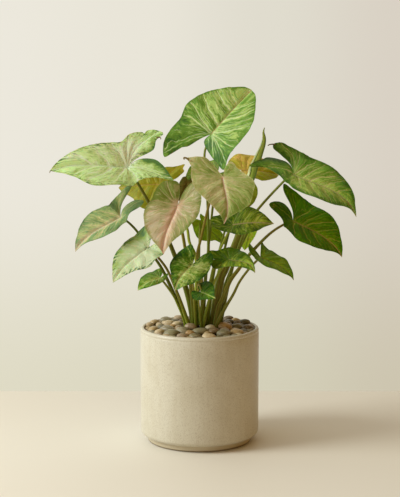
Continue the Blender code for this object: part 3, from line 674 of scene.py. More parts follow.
leaves = {
    "leaf_top": {
        "foot": (3, -4), "thick": 3.2, "joint": (14, -5, 389), "tip": (65, 15, 443), "roll": 60,
        "fold": (5, 20), "lift": (8, -12), "sway": -6,
        "via": [(8, -8, 215), (11, -8, 242), (10, -6, 301), (6, -4, 358), (9, -4, 376)],
        "left": [(74, 9), (66, 17), (55, 27), (34, 41), (7, 48), (-11, 38), (-34, 35), (-50, 29), (-60, 18),
            (-50, 14.6), (-42, 12.2), (-37, 10.4), (-33, 7.5), (-28, 4.5), (-10, 1)],
        "right": [(74, 9), (65, 18), (44, 33), (24, 38), (1, 39), (-13, 46), (-24, 51), (-22, 34), (-18, 18),
            (-12, 4)],
        "veins": ([(0, -41, 21, 0.7), (0, 0, 39, 0.8), (2, 12, 43, 0.9), (14, 30, 38, 1), (38, 46, 30, 0.8),
            (50, 58, 21, 0.5)], [(0, -22, 30, 0.6), (0, -14, 42, 0.6), (1, 2, 33, 0.9), (3, 33, 31, 1),
            (12, 42, 26, 0.3), (22, 54, 21, 0.8), (42, 64, 14, 0.5)]),
        "toneAndShadePatches": [(14, 24, 13, 0.12), (38, 16, 12, 0.06), (38, -24, 20, 0.18), (60, -8, 18, 0.22),
            (72, 0, 8, 0.2), (-8, -36, 9, -0.25), (-42, -18, 11, -0.2), (-12, 12, 8, -0.5), (0, -4, 5, -0.35),
            (-16, 34, 16, -0.3)],
        "tones": ((52, 90, 28), (88, 126, 38), (148, 176, 88), (192, 206, 134)), "rib": (186, 164, 112),
        "vein": (200, 220, 160), "bias": 0.4, "haloReach": 3.5, "streak": 0.68, "mottle": 0.1,
        "fineShare": 0.7, "wobble": 0.22, "veinWidth": 1.7, "veinShare": 0.95, "ribWidth": 0.8,
        "tint": (1.34, 1.36, 1.54), "base": (60, 88, 6),
    },
    "leaf_left_high": {
        "slot": "leaf_pale", "foot": (-6, -6), "thick": 4.8, "joint": (-89, -20, 349),
        "tip": (-182, -45, 347), "roll": -46, "fold": (14, 6), "lift": (9, 14), "arch": 4, "bow": 4,
        "sway": 13,
        "via": [(-8, -6, 154), (-16, -8, 191), (-37, -12, 253), (-64, -16, 307), (-80, -19, 335)],
        "left": [(85, 9), (70, 21), (48, 39), (16, 36), (-12, 36), (-30, 37), (-46, 43), (-52, 45), (-49, 33),
            (-46, 20), (-42, 10), (-37, 2), (-27, -2), (-14, -1)],
        "right": [(83, 11), (57, 25), (24, 36), (4, 39), (-11, 42), (-27, 41), (-31, 38), (-34, 43),
            (-44, 42), (-53, 33), (-47, 29), (-42, 24), (-40, 17), (-36, 11), (-22, 5), (-12, 3)],
        "veins": ([(0, -47, 37, 1), (0, -11, 33, 0.5), (2, 24, 30, 0.8), (17, 47, 25, 0.7),
            (38, 67, 16, 0.5)], [(0, -47, 38, 1), (0, -30, 36, 0.4), (0, -7, 33, 0.8), (1, 13, 34, 1),
            (22, 40, 26, 0.7), (44, 63, 16, 0.5)]),
        "toneAndShadePatches": [(-4, 20, 16, 0.5), (30, 23, 14, 0.2), (66, 8, 14, 0.18), (-36, 0, 9, -1.0),
            (-45, 14, 8, -0.9), (-50, -32, 9, -0.8), (-27, 0, 7, -0.8), (-44, -14, 9, -0.7),
            (-38, 34, 10, -0.35), (-6, 4, 6, 0.3), (70, -14, 14, -0.12)],
        "tones": ((70, 108, 42), (132, 160, 74), (176, 200, 126), (198, 222, 166)), "rib": (208, 220, 184),
        "vein": (228, 242, 210), "bias": 0.64, "streak": 0.6, "patch": 0.2, "mottle": 0.1, "fineShare": 0.45,
        "wobble": 0.2, "flecks": 0.9, "fleckReach": 8, "fleckInside": 0.3, "fleck": (70, 106, 48),
        "veinWidth": 1.6, "veinShare": 0.9, "veinSunk": 0.15, "ribWidth": 0.8, "ribShare": 0.5,
        "tint": (1.34, 1.42, 1.62), "stalk": (92, 102, 26), "base": (122, 144, 34), "brown": (108, 80, 30),
        "brownShare": 0.5,
    },
    "leaf_left_low": {
        "foot": (-14, -4), "thick": 3.4, "joint": (-97, -35, 289), "tip": (-151, -60, 250), "roll": -32,
        "fold": (16, 14), "lift": (4, 8), "bow": 5, "sway": 15,
        "via": [(-17, -7, 153), (-30, -17, 185), (-45, -25, 220), (-56, -27, 238), (-77, -32, 271),
            (-92, -33, 286)],
        "left": [(57, 7), (37, 18), (20, 20), (5, 14), (-9, 17), (-23, 22), (-35, 19), (-30, 8), (-20, 3)],
        "right": [(64, 6), (56, 11), (42, 20), (21, 28), (5, 26), (-12, 17), (-31, 17), (-41, 13), (-28, 8),
            (-15, 4)],
        "veins": ([(0, -33, 15, 0.9), (2, 19, 13, 0.5), (20, 39, 13, 0.8), (41, 55, 5, 0.4)],
            [(0, -19, 11, 0.8), (0, 11, 23, 0.9), (17, 25, 25, 0.8), (24, 44, 16, 0.8), (44, 56, 8, 0.3)]),
        "toneAndShadePatches": [(30, 18, 9, 0.2), (12, 6, 8, 0.2), (-17, 10, 8, 0.2), (24, -12, 7, -0.2),
            (-4, 14, 6, -0.2), (38, 22, 5, -0.3), (-16, -20, 6, -0.25), (56, 6, 8, 0.15)],
        "tones": ((62, 92, 56), (106, 136, 90), (156, 172, 120), (196, 190, 148)), "rib": (206, 188, 160),
        "vein": (208, 196, 150), "bias": 0.4, "veinHalo": 0.5, "haloReach": 5, "streak": 0.45, "mottle": 0.1,
        "fineShare": 0.5, "blush": (202, 186, 158), "blushReach": 7, "blushShare": 0.5, "veinShare": 0.7,
        "ribWidth": 1.0, "ribShare": 0.6, "tint": (1.24, 1.17, 1.0), "under": (140, 148, 104),
        "stalk": (76, 94, 20), "base": (116, 136, 30), "brown": (90, 76, 26), "brownShare": 0.4,
    },
    "leaf_left_pale": {
        "slot": "leaf_pale", "foot": (-11, -15), "thick": 3.3, "joint": (-62, -55, 255),
        "tip": (-104, -85, 216), "roll": -23, "fold": (8, 8), "lift": (9, 14), "bow": 3,
        "via": [(-15, -20, 155), (-27, -32, 192), (-39, -46, 224), (-51, -52, 242)],
        "left": [(54, 8), (42, 15), (31, 25), (22, 28), (11, 25), (-4, 25), (-10, 20), (-9, 10)],
        "right": [(54, 8), (44, 16), (30, 24), (12, 28), (-7, 27), (-19, 21), (-23, 15), (-14, 7)],
        "veins": ([(3, -2, 15, 0.5), (10, 25, 23, 0.5), (26, 34, 17, 0.5), (41, 48, 11, 0.3)],
            [(0, -14, 14, 0.5), (6, 12, 25, 0.5), (20, 32, 19, 0.5), (41, 48, 8, 0.4)]),
        "toneAndShadePatches": [(18, -14, 18, 0.3), (-11, 19, 9, -0.7), (8, 26, 7, -0.45), (-2, 10, 6, 0.2),
            (28, 22, 6, -0.35), (46, 8, 7, -0.25), (-2, -22, 6, -0.2)],
        "tones": ((80, 118, 58), (146, 174, 84), (178, 196, 136), (196, 208, 162)), "rib": (188, 162, 124),
        "vein": (210, 216, 170), "bias": 0.68, "streak": 0.2, "patch": 0.2, "mottle": 0.1, "flecks": 1.0,
        "fleckScale": 4.5, "fleckReach": 8, "fleckInside": 0.08, "fleckFrom": 0.52, "fleck": (44, 88, 34),
        "veinShare": 0.35, "veinSunk": 0.3, "ribShare": 0.4, "tint": (1.0, 1.0, 1.1), "stalk": (108, 94, 34),
        "base": (128, 150, 34), "brown": (114, 82, 32), "brownShare": 0.4,
    },
    "leaf_pink_front": {
        "slot": "leaf_pink", "foot": (-6, -11), "thick": 3.2, "joint": (-26, -75, 309),
        "tip": (-43, -92, 251), "roll": -42, "fold": (14, 8), "lift": (2, -1), "arch": 4, "bow": 4,
        "via": [(-12, -22, 206), (-19, -36, 255), (-23, -47, 280), (-26, -68, 303)],
        "left": [(55, 5), (45, 11), (34, 19), (21, 25), (11, 28), (-3, 28), (-14, 26), (-28, 21), (-35, 12),
            (-20, 3)],
        "right": [(57, 5), (51, 13), (41, 24), (31, 30), (23, 34), (13, 35), (2, 32), (-10, 31), (-22, 26),
            (-27, 17), (-27, 7), (-14, 2)],
        "veins": ([(0, -29, 8, 0.9), (0, -26, 17, 0.4), (0, -3, 22, 0.6), (6, 19, 19, 0.4), (18, 33, 15, 0.4),
            (36, 46, 9, 0.3)], [(0, -19, 18, 0.6), (0, -13, 29, 0.5), (0, 6, 33, 0.6), (4, 21, 30, 0.6),
            (16, 35, 21, 0.5), (32, 47, 11, 0.4)]),
        "toneAndShadePatches": [(36, 20, 17, 0.28), (50, 6, 10, 0.15), (20, 20, 12, 0.1), (-10, 20, 14, -0.55),
            (-6, 4, 6, -0.3), (8, -16, 8, 0.15), (22, -20, 12, -0.2), (-26, -18, 9, 0.1)],
        "tones": ((106, 118, 40), (154, 150, 88), (196, 180, 138), (210, 192, 160)), "rib": (204, 150, 134),
        "vein": (214, 178, 148), "veinHalo": 0.3, "streak": 0.6, "patch": 0.25, "mottle": 0.1,
        "fineShare": 0.3, "edgeShade": 0.25, "edgeReach": 6, "blush": (220, 176, 158), "blushReach": 14,
        "blushShare": 0.5, "veinShare": 0.5, "ribWidth": 0.6, "ribShare": 0.85, "tint": (1.06, 1.2, 1.38),
        "under": (160, 154, 104), "stalk": (134, 126, 36), "base": (84, 108, 14), "brown": (124, 90, 34),
        "brownShare": 0.5,
    },
    "leaf_rose_centre": {
        "slot": "leaf_pink", "foot": (4, -10), "thick": 3.2, "joint": (28, -60, 341), "tip": (29, -88, 287),
        "roll": -2, "fold": (8, 8), "lift": (-4, -1), "arch": 5, "bow": -4.5,
        "via": [(2, -20, 215), (-3, -24, 239), (1, -27, 259), (6, -30, 281), (14, -38, 312), (26, -53, 334)],
        "left": [(55, 2), (50, 8), (43, 20), (37, 27), (26, 32), (13, 37), (5, 36), (-2, 28), (-12, 20),
            (-24, 12), (-16, 4)],
        "right": [(52, 7), (44, 15), (34, 25), (22, 35), (12, 38), (0, 39), (-11, 38), (-19, 40), (-27, 43),
            (-28, 38), (-29, 27), (-27, 18), (-13, 8)],
        "veins": ([(0, -9, 10, 0.4), (1, 2, 28, 0.5), (3, 16, 31, 0.6), (12, 34, 26, 0.6), (26, 44, 15, 0.6),
            (37, 50, 6, 0.4)], [(0, -20, 22, 0.9), (2, -5, 33, 0.6), (3, 19, 27, 0.8), (16, 33, 23, 0.6),
            (27, 41, 16, 0.6), (39, 49, 8, 0.4)]),
        "toneAndShadePatches": [(24, 12, 16, 0.36), (8, 28, 10, 0.22), (-20, 41, 9, 0.4), (-6, 16, 7, -0.3),
            (-8, -6, 7, -0.35), (6, -8, 7, 0.15), (46, -14, 18, -0.5), (24, -30, 10, -0.2), (56, 0, 6, -0.5)],
        "tones": ((108, 128, 48), (142, 152, 80), (172, 170, 114), (196, 188, 142)), "rib": (226, 188, 170),
        "vein": (190, 172, 124), "bias": 0.4, "streak": 0.8, "patch": 0.25, "mottle": 0.2, "fineShare": 0.35,
        "edgeShade": -0.25, "edgeReach": 1.6, "blush": (200, 168, 138), "blushReach": 6, "blushShare": 0.12,
        "veinShare": 0.5, "ribWidth": 1.0, "tint": (1.15, 1.2, 1.28), "under": (150, 152, 96),
        "stalk": (130, 112, 38), "base": (66, 86, 8), "brown": (122, 86, 32), "brownShare": 0.6,
    },
    "leaf_right_high": {
        "foot": (24, -3), "thick": 3.4, "joint": (116, -15, 340), "tip": (192, -40, 290), "roll": 31,
        "fold": (12, 12), "lift": (5, -3), "arch": 4, "bow": -12, "sway": -19,
        "via": [(41, -3, 221), (58, -5, 271), (73, -8, 296), (107, -14, 334)],
        "left": [(84, 7), (74, 15), (49, 28), (32, 35), (12, 39), (6, 38.8), (0, 37.6), (-3, 34), (-6, 30),
            (-14, 23), (-28, 20), (-38, 19), (-44, 14), (-46, 8), (-42, 2), (-32, 1.5), (-23, 0),
            (-14, -0.5)],
        "right": [(84, 4), (75, 12), (63, 26), (39, 33), (17, 31), (3, 25), (-8, 33), (-17, 37), (-26, 36),
            (-34, 37), (-46, 48), (-49, 47), (-47, 34), (-43, 22), (-41, 12), (-33, 6), (-24, 3), (-12, 1.5)],
        "veins": ([(0, -31, 14, 0.7), (0, -12, 20, 0.4), (1, 14, 37, 0.9), (12, 21, 30, 0.5),
            (21, 46, 26, 0.9), (39, 53, 21, 0.5), (56, 67, 16, 0.4)], [(0, -41, 40, 0.6), (7, 27, 30, 0.5),
            (20, 48, 30, 0.6), (37, 63, 24, 0.5), (59, 74, 8, 0.3)]),
        "toneAndShadePatches": [(22, -14, 14, 0.1), (48, -6, 12, 0.15), (-34, -12, 10, 0.1), (32, 16, 20, 0.28),
            (8, 16, 10, 0.2), (-30, 38, 8, 0.2), (-36, 12, 8, -0.45), (-22, 5, 7, -0.45),
            (58, -14, 12, -0.15), (72, 10, 8, 0.1), (4, -30, 10, -0.12)],
        "tones": ((52, 84, 22), (88, 118, 44), (134, 148, 80), (166, 174, 116)), "rib": (176, 176, 120),
        "vein": (194, 188, 132), "bias": 0.38, "veinHalo": 0.45, "ribHalo": 0.2, "ribReach": 12,
        "streak": 0.7, "patch": 0.15, "mottleScale": 4.5, "fineShare": 0.6, "edgeShade": 0.3, "edgeReach": 8,
        "flecks": 0.5, "fleckReach": 10, "fleck": (58, 86, 22), "veinWidth": 1.7, "veinShare": 0.95,
        "ribWidth": 1.7, "ribShare": 0.7, "tint": (1.45, 1.74, 1.15), "shine": 0.12, "stalk": (112, 124, 36),
        "base": (60, 84, 6),
    },
    "leaf_right_low": {
        "slot": "leaf_dark", "foot": (19, -10), "thick": 4.2, "joint": (115, -30, 284),
        "tip": (173, -60, 243), "roll": 26, "fold": (12, 12), "lift": (17, 13), "arch": 4, "bow": -6,
        "sway": -16,
        "via": [(24, -11, 171), (30, -12, 185), (38, -14, 206), (49, -17, 222), (63, -22, 242),
            (86, -28, 267), (105, -30, 280)],
        "left": [(70, 7), (59, 15), (45, 27), (27, 35), (12, 38.4), (4, 38.8), (-1, 37.4), (-5, 32.4),
            (-10, 28), (-16, 24.6), (-28, 22), (-42, 17), (-38, 10), (-31, 7), (-22, 5), (-12, 2.6)],
        "right": [(69, 5), (54, 24), (41, 32), (27, 33), (12, 26), (-4, 22), (-17, 26), (-31, 31), (-31, 17),
            (-24, 5), (-10, 2)],
        "veins": ([(0, -20, 12, 0.5), (1, 7, 33, 0.7), (12, 21, 30, 0.4), (16, 35, 25, 0.7),
            (32, 46, 19, 0.4), (48, 60, 10, 0.3)], [(0, -30, 24, 0.4), (2, 15, 22, 0.6), (13, 35, 24, 0.5),
            (27, 53, 20, 0.5), (46, 62, 5, 0.3)]),
        "toneAndShadePatches": [(22, -14, 10, 0.15), (50, -4, 10, 0.15), (6, 0, 8, 0.2), (36, 2, 8, 0.2),
            (-26, -16, 12, 0.2), (-16, 18, 12, -0.1)],
        "tones": ((32, 60, 6), (58, 86, 14), (88, 108, 26), (116, 122, 46)), "rib": (166, 140, 76),
        "vein": (164, 152, 70), "bias": 0.34, "veinHalo": 0.5, "streak": 0.45, "patch": 0.15, "mottle": 0.2,
        "fineShare": 0.3, "veinWidth": 1.9, "veinShare": 0.9, "ribWidth": 1.5, "tint": (1.5, 1.78, 0.15),
        "shine": 0.06, "under": (96, 116, 50), "stalk": (118, 118, 34), "base": (68, 88, 8),
        "brown": (120, 82, 30), "brownShare": 0.75,
    },
    "leaf_mid_right": {
        "foot": (1, -13), "thick": 2.8, "joint": (41, -45, 281), "tip": (90, -60, 284), "roll": 40,
        "fold": (12, 12), "lift": (11, 11),
        "via": [(0, -13, 152), (5, -16, 184), (13, -18, 206), (17, -21, 224), (25, -26, 247), (33, -34, 265),
            (38, -42, 277)],
        "left": [(46, 5), (42, 9), (33, 17), (25, 22), (17, 24), (6, 21), (-9, 17), (-23, 12.5), (-27.5, 9.5),
            (-28.5, 4), (-25, 0.8), (-12, 0.3)],
        "right": [(46, 4), (41, 8), (33, 16), (20, 21), (8, 20), (-3, 15), (-15, 11), (-23, 8), (-26, 4.5),
            (-25, 0.7), (-12, 0.2)],
        "veins": ([(0, -23, 9, 0.3), (0, 7, 21, 0.6), (13, 24, 21, 0.6), (27, 36, 13, 0.5)],
            [(0, -17, 6, 0.4), (0, 0, 13, 0.4), (13, 19, 17, 0.5), (29, 35, 11, 0.4)]),
        "toneAndShadePatches": [(16, -12, 7, 0.2), (30, -2, 11, 0.28), (-9, -6, 6, -0.35), (20, 14, 9, 0.15),
            (-22, -5, 5, 0.2)],
        "tones": ((50, 74, 14), (86, 102, 32), (132, 140, 72), (168, 166, 108)), "rib": (176, 158, 118),
        "vein": (162, 158, 98), "bias": 0.34, "ribHalo": 0.25, "streak": 1.0, "flecks": 0.6, "fleckReach": 8,
        "fleckFrom": 0.52, "fleck": (44, 70, 12), "veinShare": 0.85, "ribWidth": 1.5,
        "tint": (1.16, 1.42, 0.42), "shine": 0.1, "stalk": (136, 148, 36), "base": (104, 120, 22),
        "brownShare": 0.1, "stalkPale": (168, 182, 84),
    },
    "leaf_low_right": {
        "foot": (19, -19), "thick": 3.2, "joint": (75, -35, 240), "tip": (115, -55, 214), "roll": 13,
        "fold": (12, 12), "lift": (7, 8), "bow": -4, "sway": -8,
        "via": [(24, -20, 157), (34, -22, 177), (42, -24, 191), (50, -27, 208), (62, -30, 225),
            (71, -33, 235)],
        "left": [(43, 6), (33, 13), (21, 18), (6, 21), (-2.5, 20), (-11, 16), (-14.3, 13.9), (-9.4, 8.6),
            (-3, 3)],
        "right": [(44, 4), (35, 12), (28, 16), (19, 19), (7, 17), (-3, 13.5), (-9, 14.5), (-15, 14), (-20, 9),
            (-21, 3), (-12, 1.5)],
        "toneAndShadePatches": [(-2, -6, 7, 0.25), (26, -10, 9, 0.15), (24, 8, 8, 0.15), (-12, 9, 5, -0.2)],
        "tones": ((54, 76, 14), (82, 98, 28), (108, 118, 44), (138, 140, 70)), "rib": (134, 116, 62),
        "vein": (122, 120, 54), "bias": 0.36, "veinHalo": 0.2, "streak": 0.35, "edgeShade": 0.25,
        "edgeReach": 5, "veinShare": 0.7, "tint": (2.1, 2.75, 1.1), "shine": 0.08, "stalk": (116, 116, 34),
        "base": (70, 94, 10), "brown": (116, 80, 30), "brownShare": 0.6,
    },
    "leaf_low_centre": {
        "foot": (6, -21), "thick": 2.8, "joint": (35, -55, 240), "tip": (66, -95, 229), "roll": 37,
        "fold": (8, 8), "lift": (16, 10), "bow": -6, "sway": 9,
        "via": [(5, -24, 153), (12, -35, 187), (19, -44, 212), (29, -51, 232)],
        "left": [(38, 5), (26, 10), (12, 15.4), (-2, 19), (-10, 19.5), (-14, 14), (-17.5, 7), (-21.5, 1.5),
            (-21, -3), (-15, -4.5), (-8, -1.6)],
        "right": [(43, 4.6), (30, 9.8), (18, 11.5), (6, 15.9), (-4, 17.7), (-11, 13), (-15, 8), (-7.5, 2.6)],
        "veins": ([(0, -21, 8, 0.4), (0, -11, 18, 0.4), (6, 6, 16, 0.7), (20, 26, 9, 0.5)], [(0, -3, 15, 0.4),
            (4, 11, 10, 0.4), (14, 22, 8, 0.4), (27, 35, 5, 0.4)]),
        "toneAndShadePatches": [(26, 8, 12, 0.35), (4, 13, 7, 0.35), (-8, -1, 5, -0.25), (-14, -10, 6, 0.15),
            (8, -14, 6, -0.15)],
        "tones": ((44, 76, 14), (74, 104, 24), (128, 148, 80), (176, 186, 134)), "rib": (150, 142, 84),
        "vein": (156, 164, 96), "bias": 0.34, "streak": 0.4, "patch": 0.6, "fineShare": 0.15, "flecks": 0.7,
        "fleckReach": 6, "fleckFrom": 0.52, "fleck": (40, 74, 14), "tint": (1.04, 1.06, 0.22), "shine": 0.1,
        "stalk": (136, 148, 36), "base": (104, 120, 22), "brownShare": 0.1, "stalkPale": (168, 182, 84),
    },
    "leaf_low_left": {
        "foot": (-4, -20), "thick": 2.6, "joint": (-8, -65, 236), "tip": (-29, -88, 207), "roll": -27,
        "fold": (8, 8), "lift": (7, 7), "bow": 3,
        "via": [(-7, -42, 190), (-9, -57, 224)],
        "left": [(39, 5), (33, 12), (26, 19), (19, 23), (8, 24), (-5, 22), (-17, 19), (-22, 12), (-14, 4)],
        "right": [(36, 5), (27, 12), (18, 20), (9, 24), (-5, 24), (-16, 20), (-22, 14), (-13, 5)],
        "veins": ([(1, -17, 11, 0.5), (5, 1, 15, 0.7), (16, 17, 18, 0.7), (28, 29, 13, 0.5)],
            [(1, -16, 16, 0.4), (5, 11, 21, 0.5), (18, 25, 11, 0.5), (30, 34, 4, 0.3)]),
        "toneAndShadePatches": [(2, -11, 10, 0.45), (22, -2, 8, 0.3), (-17, -15, 6, -0.35), (4, 24, 6, -0.3),
            (34, -10, 6, 0.1), (12, -24, 6, -0.3), (20, 12, 6, -0.25), (-12, 18, 8, -0.25)],
        "tones": ((40, 76, 10), (78, 112, 20), (146, 162, 98), (184, 194, 154)), "rib": (178, 172, 112),
        "vein": (168, 176, 104), "bias": 0.4, "streak": 0.55, "mottle": 0.35, "fineShare": 0.2, "wobble": 0.5,
        "flecks": 0.85, "fleckScale": 4, "fleckReach": 10, "fleckInside": 0.3, "fleckFrom": 0.5,
        "fleck": (36, 78, 26), "veinShare": 0.45, "tint": (1.16, 1.22, 0.78), "shine": 0.12,
        "stalk": (132, 124, 36), "base": (70, 100, 10), "brown": (122, 88, 34), "brownShare": 0.5,
    },
    "leaf_small_front": {
        "foot": (3, -22), "thick": 2.2, "joint": (2, -72, 202), "tip": (19, -92, 198), "roll": 56,
        "fold": (8, 8), "lift": (1, 4), "arch": 2, "wave": 0.4,
        "via": [(0, -34, 170), (-2, -52, 204), (0, -64, 209)],
        "left": [(23, 3), (20, 9), (11, 15), (-3, 15.5), (-12, 10), (-11, 4)],
        "right": [(23, 2.5), (16, 6), (6, 9.5), (-6, 12), (-13, 7.5), (-13, 2)],
        "tones": ((36, 66, 4), (62, 92, 10), (100, 124, 34), (160, 172, 100)), "rib": (176, 184, 110),
        "vein": (120, 140, 56), "bias": 0.28, "ribHalo": 0.3, "ribReach": 3, "veinShare": 0.7,
        "tint": (0.74, 1.12, 0.1), "shine": 0.08, "stalk": (160, 146, 70), "base": (70, 100, 10),
    },
    "leaf_small_left": {
        "slot": "leaf_pale", "foot": (-18, -13), "thick": 2.2, "joint": (-49, -32, 213),
        "tip": (-76, -48, 200), "roll": -15, "fold": (8, 8), "lift": (3, 3), "arch": 2, "bow": 3, "sway": 6,
        "wave": 0.4,
        "via": [(-19, -16, 154), (-30, -24, 184), (-42, -29, 204)],
        "left": [(28, 6), (17, 12), (8, 11), (-4, 9), (-12, 6), (-8, 2)],
        "right": [(25, 7), (14, 16), (3, 20), (-5, 17), (-12, 10), (-8, 3)],
        "toneAndShadePatches": [(5, -2, 8, 0.35), (2, 17, 5, -0.2)],
        "tones": ((60, 98, 20), (96, 130, 44), (148, 168, 88), (190, 198, 140)), "rib": (190, 198, 138),
        "vein": (184, 196, 132), "bias": 0.36, "ribHalo": 0.4, "ribReach": 4, "mottle": 0.4, "veinShare": 0.7,
        "tint": (1.05, 1.2, 0.62), "shine": 0.12, "stalk": (120, 134, 34), "base": (128, 152, 34),
    },
    "leaf_back_amber": {
        "slot": "leaf_amber", "foot": (11, 15), "thick": 3.0, "joint": (56, 60, 339), "tip": (103, 75, 331),
        "roll": 35,
        "via": [(22, 26, 200), (40, 44, 270), (52, 56, 325)],
        "left": [(47, 10), (38, 21), (25, 29), (6, 32), (-4, 31), (-13, 23), (-17, 12), (-9, 4)],
        "right": [(45, 7), (40, 11), (31, 17), (23, 19), (16, 17), (6, 17), (-5, 17), (-16, 13), (-8, 3)],
        "toneAndShadePatches": [(28, 8, 14, -0.5), (42, 2, 12, -0.4), (-14, -12, 8, -0.4), (4, 8, 7, 0.2)],
        "tones": ((136, 128, 16), (162, 138, 50), (194, 148, 86), (206, 158, 110)), "rib": (172, 128, 72),
        "vein": (184, 144, 76), "bias": 0.44, "mottle": 0.4, "drift": -0.06, "tint": (1.2, 1.62, 0.95),
        "under": (180, 148, 72),
    },
    "leaf_back_olive": {
        "slot": "leaf_olive", "foot": (-8, 9), "thick": 3.6, "joint": (-51, 45, 322), "tip": (-105, 60, 316),
        "roll": -66, "lift": (-2, 1),
        "via": [(-4, 12, 200), (-5, 15, 232), (-13, 24, 250), (-17, 30, 270), (-34, 40, 302)],
        "left": [(48, 9), (35, 17), (28, 27), (18, 33), (6, 30), (-8, 24), (-16, 14), (-9, 4)],
        "right": [(47, 8), (33, 13), (13, 19), (-7, 23), (-20, 24), (-31, 27), (-29, 21), (-31, 17),
            (-26, 12), (-18, 6)],
        "toneAndShadePatches": [(36, 4, 10, -0.25), (42, -12, 8, 0.2), (-30, 20, 6, 0.25)],
        "tones": ((116, 114, 14), (140, 134, 28), (166, 146, 56), (184, 152, 80)), "rib": (160, 128, 60),
        "vein": (164, 142, 60), "bias": 0.4, "drift": 0.05, "tint": (0.88, 1.02, 0.28),
        "under": (142, 134, 44), "stalk": (150, 160, 40), "base": (140, 152, 38), "brownShare": 0.1,
        "stalkPale": (190, 196, 90),
    },
    "leaf_back_mid": {
        "slot": "leaf_bright", "foot": (-3, 12), "thick": 2.6, "joint": (2, 30, 277), "tip": (33, 45, 244),
        "roll": 111, "lift": (3, 7),
        "via": [(-1, 18, 200), (0, 26, 256)],
        "left": [(43, 6), (33, 8), (24, 9), (17, 9), (7, 9), (0, 7), (-8, 6), (-5, 2)],
        "right": [(38, 3.5), (33, 5), (29, 9), (25, 13), (20, 17.5), (11, 18.5), (3, 15.5), (-6, 11),
            (-11, 8), (-7, 3)],
        "tones": ((96, 122, 14), (120, 144, 24), (146, 164, 46), (168, 180, 78)), "rib": (140, 148, 52),
        "vein": (146, 164, 60), "mottle": 0.35, "tint": (1.2, 1.5, 0.28), "under": (126, 148, 30),
        "stalk": (128, 146, 44),
    },
    "leaf_back_tip": {
        "slot": "leaf_bright", "foot": (20, 10), "thick": 2.6, "joint": (66, 27, 276), "tip": (58, 42, 237),
        "roll": -162, "lift": (8, 8),
        "via": [(30, 15, 190), (50, 21, 240), (64, 26, 268)],
        "left": [(36, 3), (24, 7), (6, 11), (-12, 10), (-10, 3)],
        "right": [(36, 6), (24, 13), (8, 14), (-12, 12), (-10, 3)],
        "tones": ((100, 140, 12), (122, 160, 20), (148, 180, 46), (176, 198, 84)), "rib": (150, 174, 56),
        "vein": (160, 184, 70), "tint": (2.3, 2.5, 3.0), "under": (134, 168, 34),
    },
    "leaf_back_high": {
        "foot": (4, 7), "thick": 3.0, "joint": (22, 22, 338), "tip": (-19, 5, 327), "roll": -40,
        "lift": (14, 10),
        "via": [(8, 12, 210), (16, 20, 290), (20, 22, 326)],
        "left": [(40, 5), (30, 13), (12, 18), (-9, 16), (-24, 10), (-15, 3)],
        "right": [(40, 9), (29, 20), (15, 26), (2, 25), (-8, 15), (-5, 5)],
        "tones": ((82, 102, 32), (118, 130, 58), (158, 160, 96), (184, 180, 126)), "rib": (156, 136, 90),
        "vein": (170, 170, 106), "mottle": 0.5, "veinShare": 0.7, "tint": (0.74, 1.0, 0.3),
    },
    "leaf_behind_right": {
        "slot": "leaf_olive", "foot": (9, -2), "thick": 2.6, "joint": (48, -20, 330), "tip": (61, -32, 301),
        "roll": 27, "lift": (0, 3),
        "via": [(18, -7, 215), (34, -10, 278), (45, -15, 320)],
        "left": [(31, 7), (25, 14), (15, 19), (2, 19), (-11, 14), (-9, 4)],
        "right": [(30, 6), (16, 11), (2, 12), (-13, 8), (-10, 3)],
        "tones": ((104, 112, 34), (138, 140, 62), (166, 162, 88), (184, 178, 114)), "rib": (156, 138, 84),
        "vein": (166, 160, 90), "tint": (1.0, 1.46, 0.45), "under": (146, 146, 76),
    },
    "leaf_tucked": {
        "foot": (-3, -5), "thick": 2.2, "joint": (-14.5, -38, 334), "tip": (-23.5, -42, 308), "roll": -78,
        "wave": 0.4,
        "via": [(-11, -15, 206), (-18, -27, 255), (-24, -33, 290), (-20.5, -36, 318)],
        "left": [(25, 4), (18, 9), (8, 11), (-2, 9), (-5, 4)],
        "right": [(25, 4), (19, 7), (12, 8.5), (4, 9), (-2, 7), (-4, 3)],
        "tones": ((58, 72, 6), (88, 86, 24), (108, 98, 38), (134, 124, 56)), "rib": (112, 96, 40),
        "vein": (124, 112, 50), "mottle": 0.15, "shine": 0.1, "under": (110, 100, 40),
    },
}


# The thin brown ends that have dried and curled on a few lobes and tips

driedTips = {
    "brown": onScreen(98, 82, 40), "pale": onScreen(146, 126, 68),
    "lines": [  # thickness, then the points
        (0.8, [(-54, 14, 383.6), (-51, 14, 384.2), (-48.6, 14, 383), (-49.2, 13.5, 381.6)]),
        (0.95, [(95, 18, 374.8), (91.5, 16, 375.2), (88, 15, 374.9), (85.6, 15, 373.6)]),
        (1.3, [(-12.6, -50, 360.6), (-16, -50, 362.7), (-19, -50, 363.2), (-18.6, -50, 361)]),
        (0.6, [(-180, -44.5, 347.6), (-181.8, -45, 346.2), (-182.2, -45, 344.4)]),
    ],
}


def buildDriedTips():
    d = driedTips
    bm = newMesh(("ridge",), ("around",))
    for thick, points in d["lines"]:
        line = smoothLine(points, 16)
        whole = lineLength(line)
        growTube(bm, line, lambda reach: thick * (1.1 - 0.5 * reach / whole), 10, lambda *_: (1, 0))
    finish = crumbFinish("dried leaf", d["brown"], d["pale"], 700, 0.7)
    return addPiece("blade_dried_tips", bm, [finish], "leaf_olive", sharp=50)


# The new leaf, still rolled to a spike inside its stem's sheath

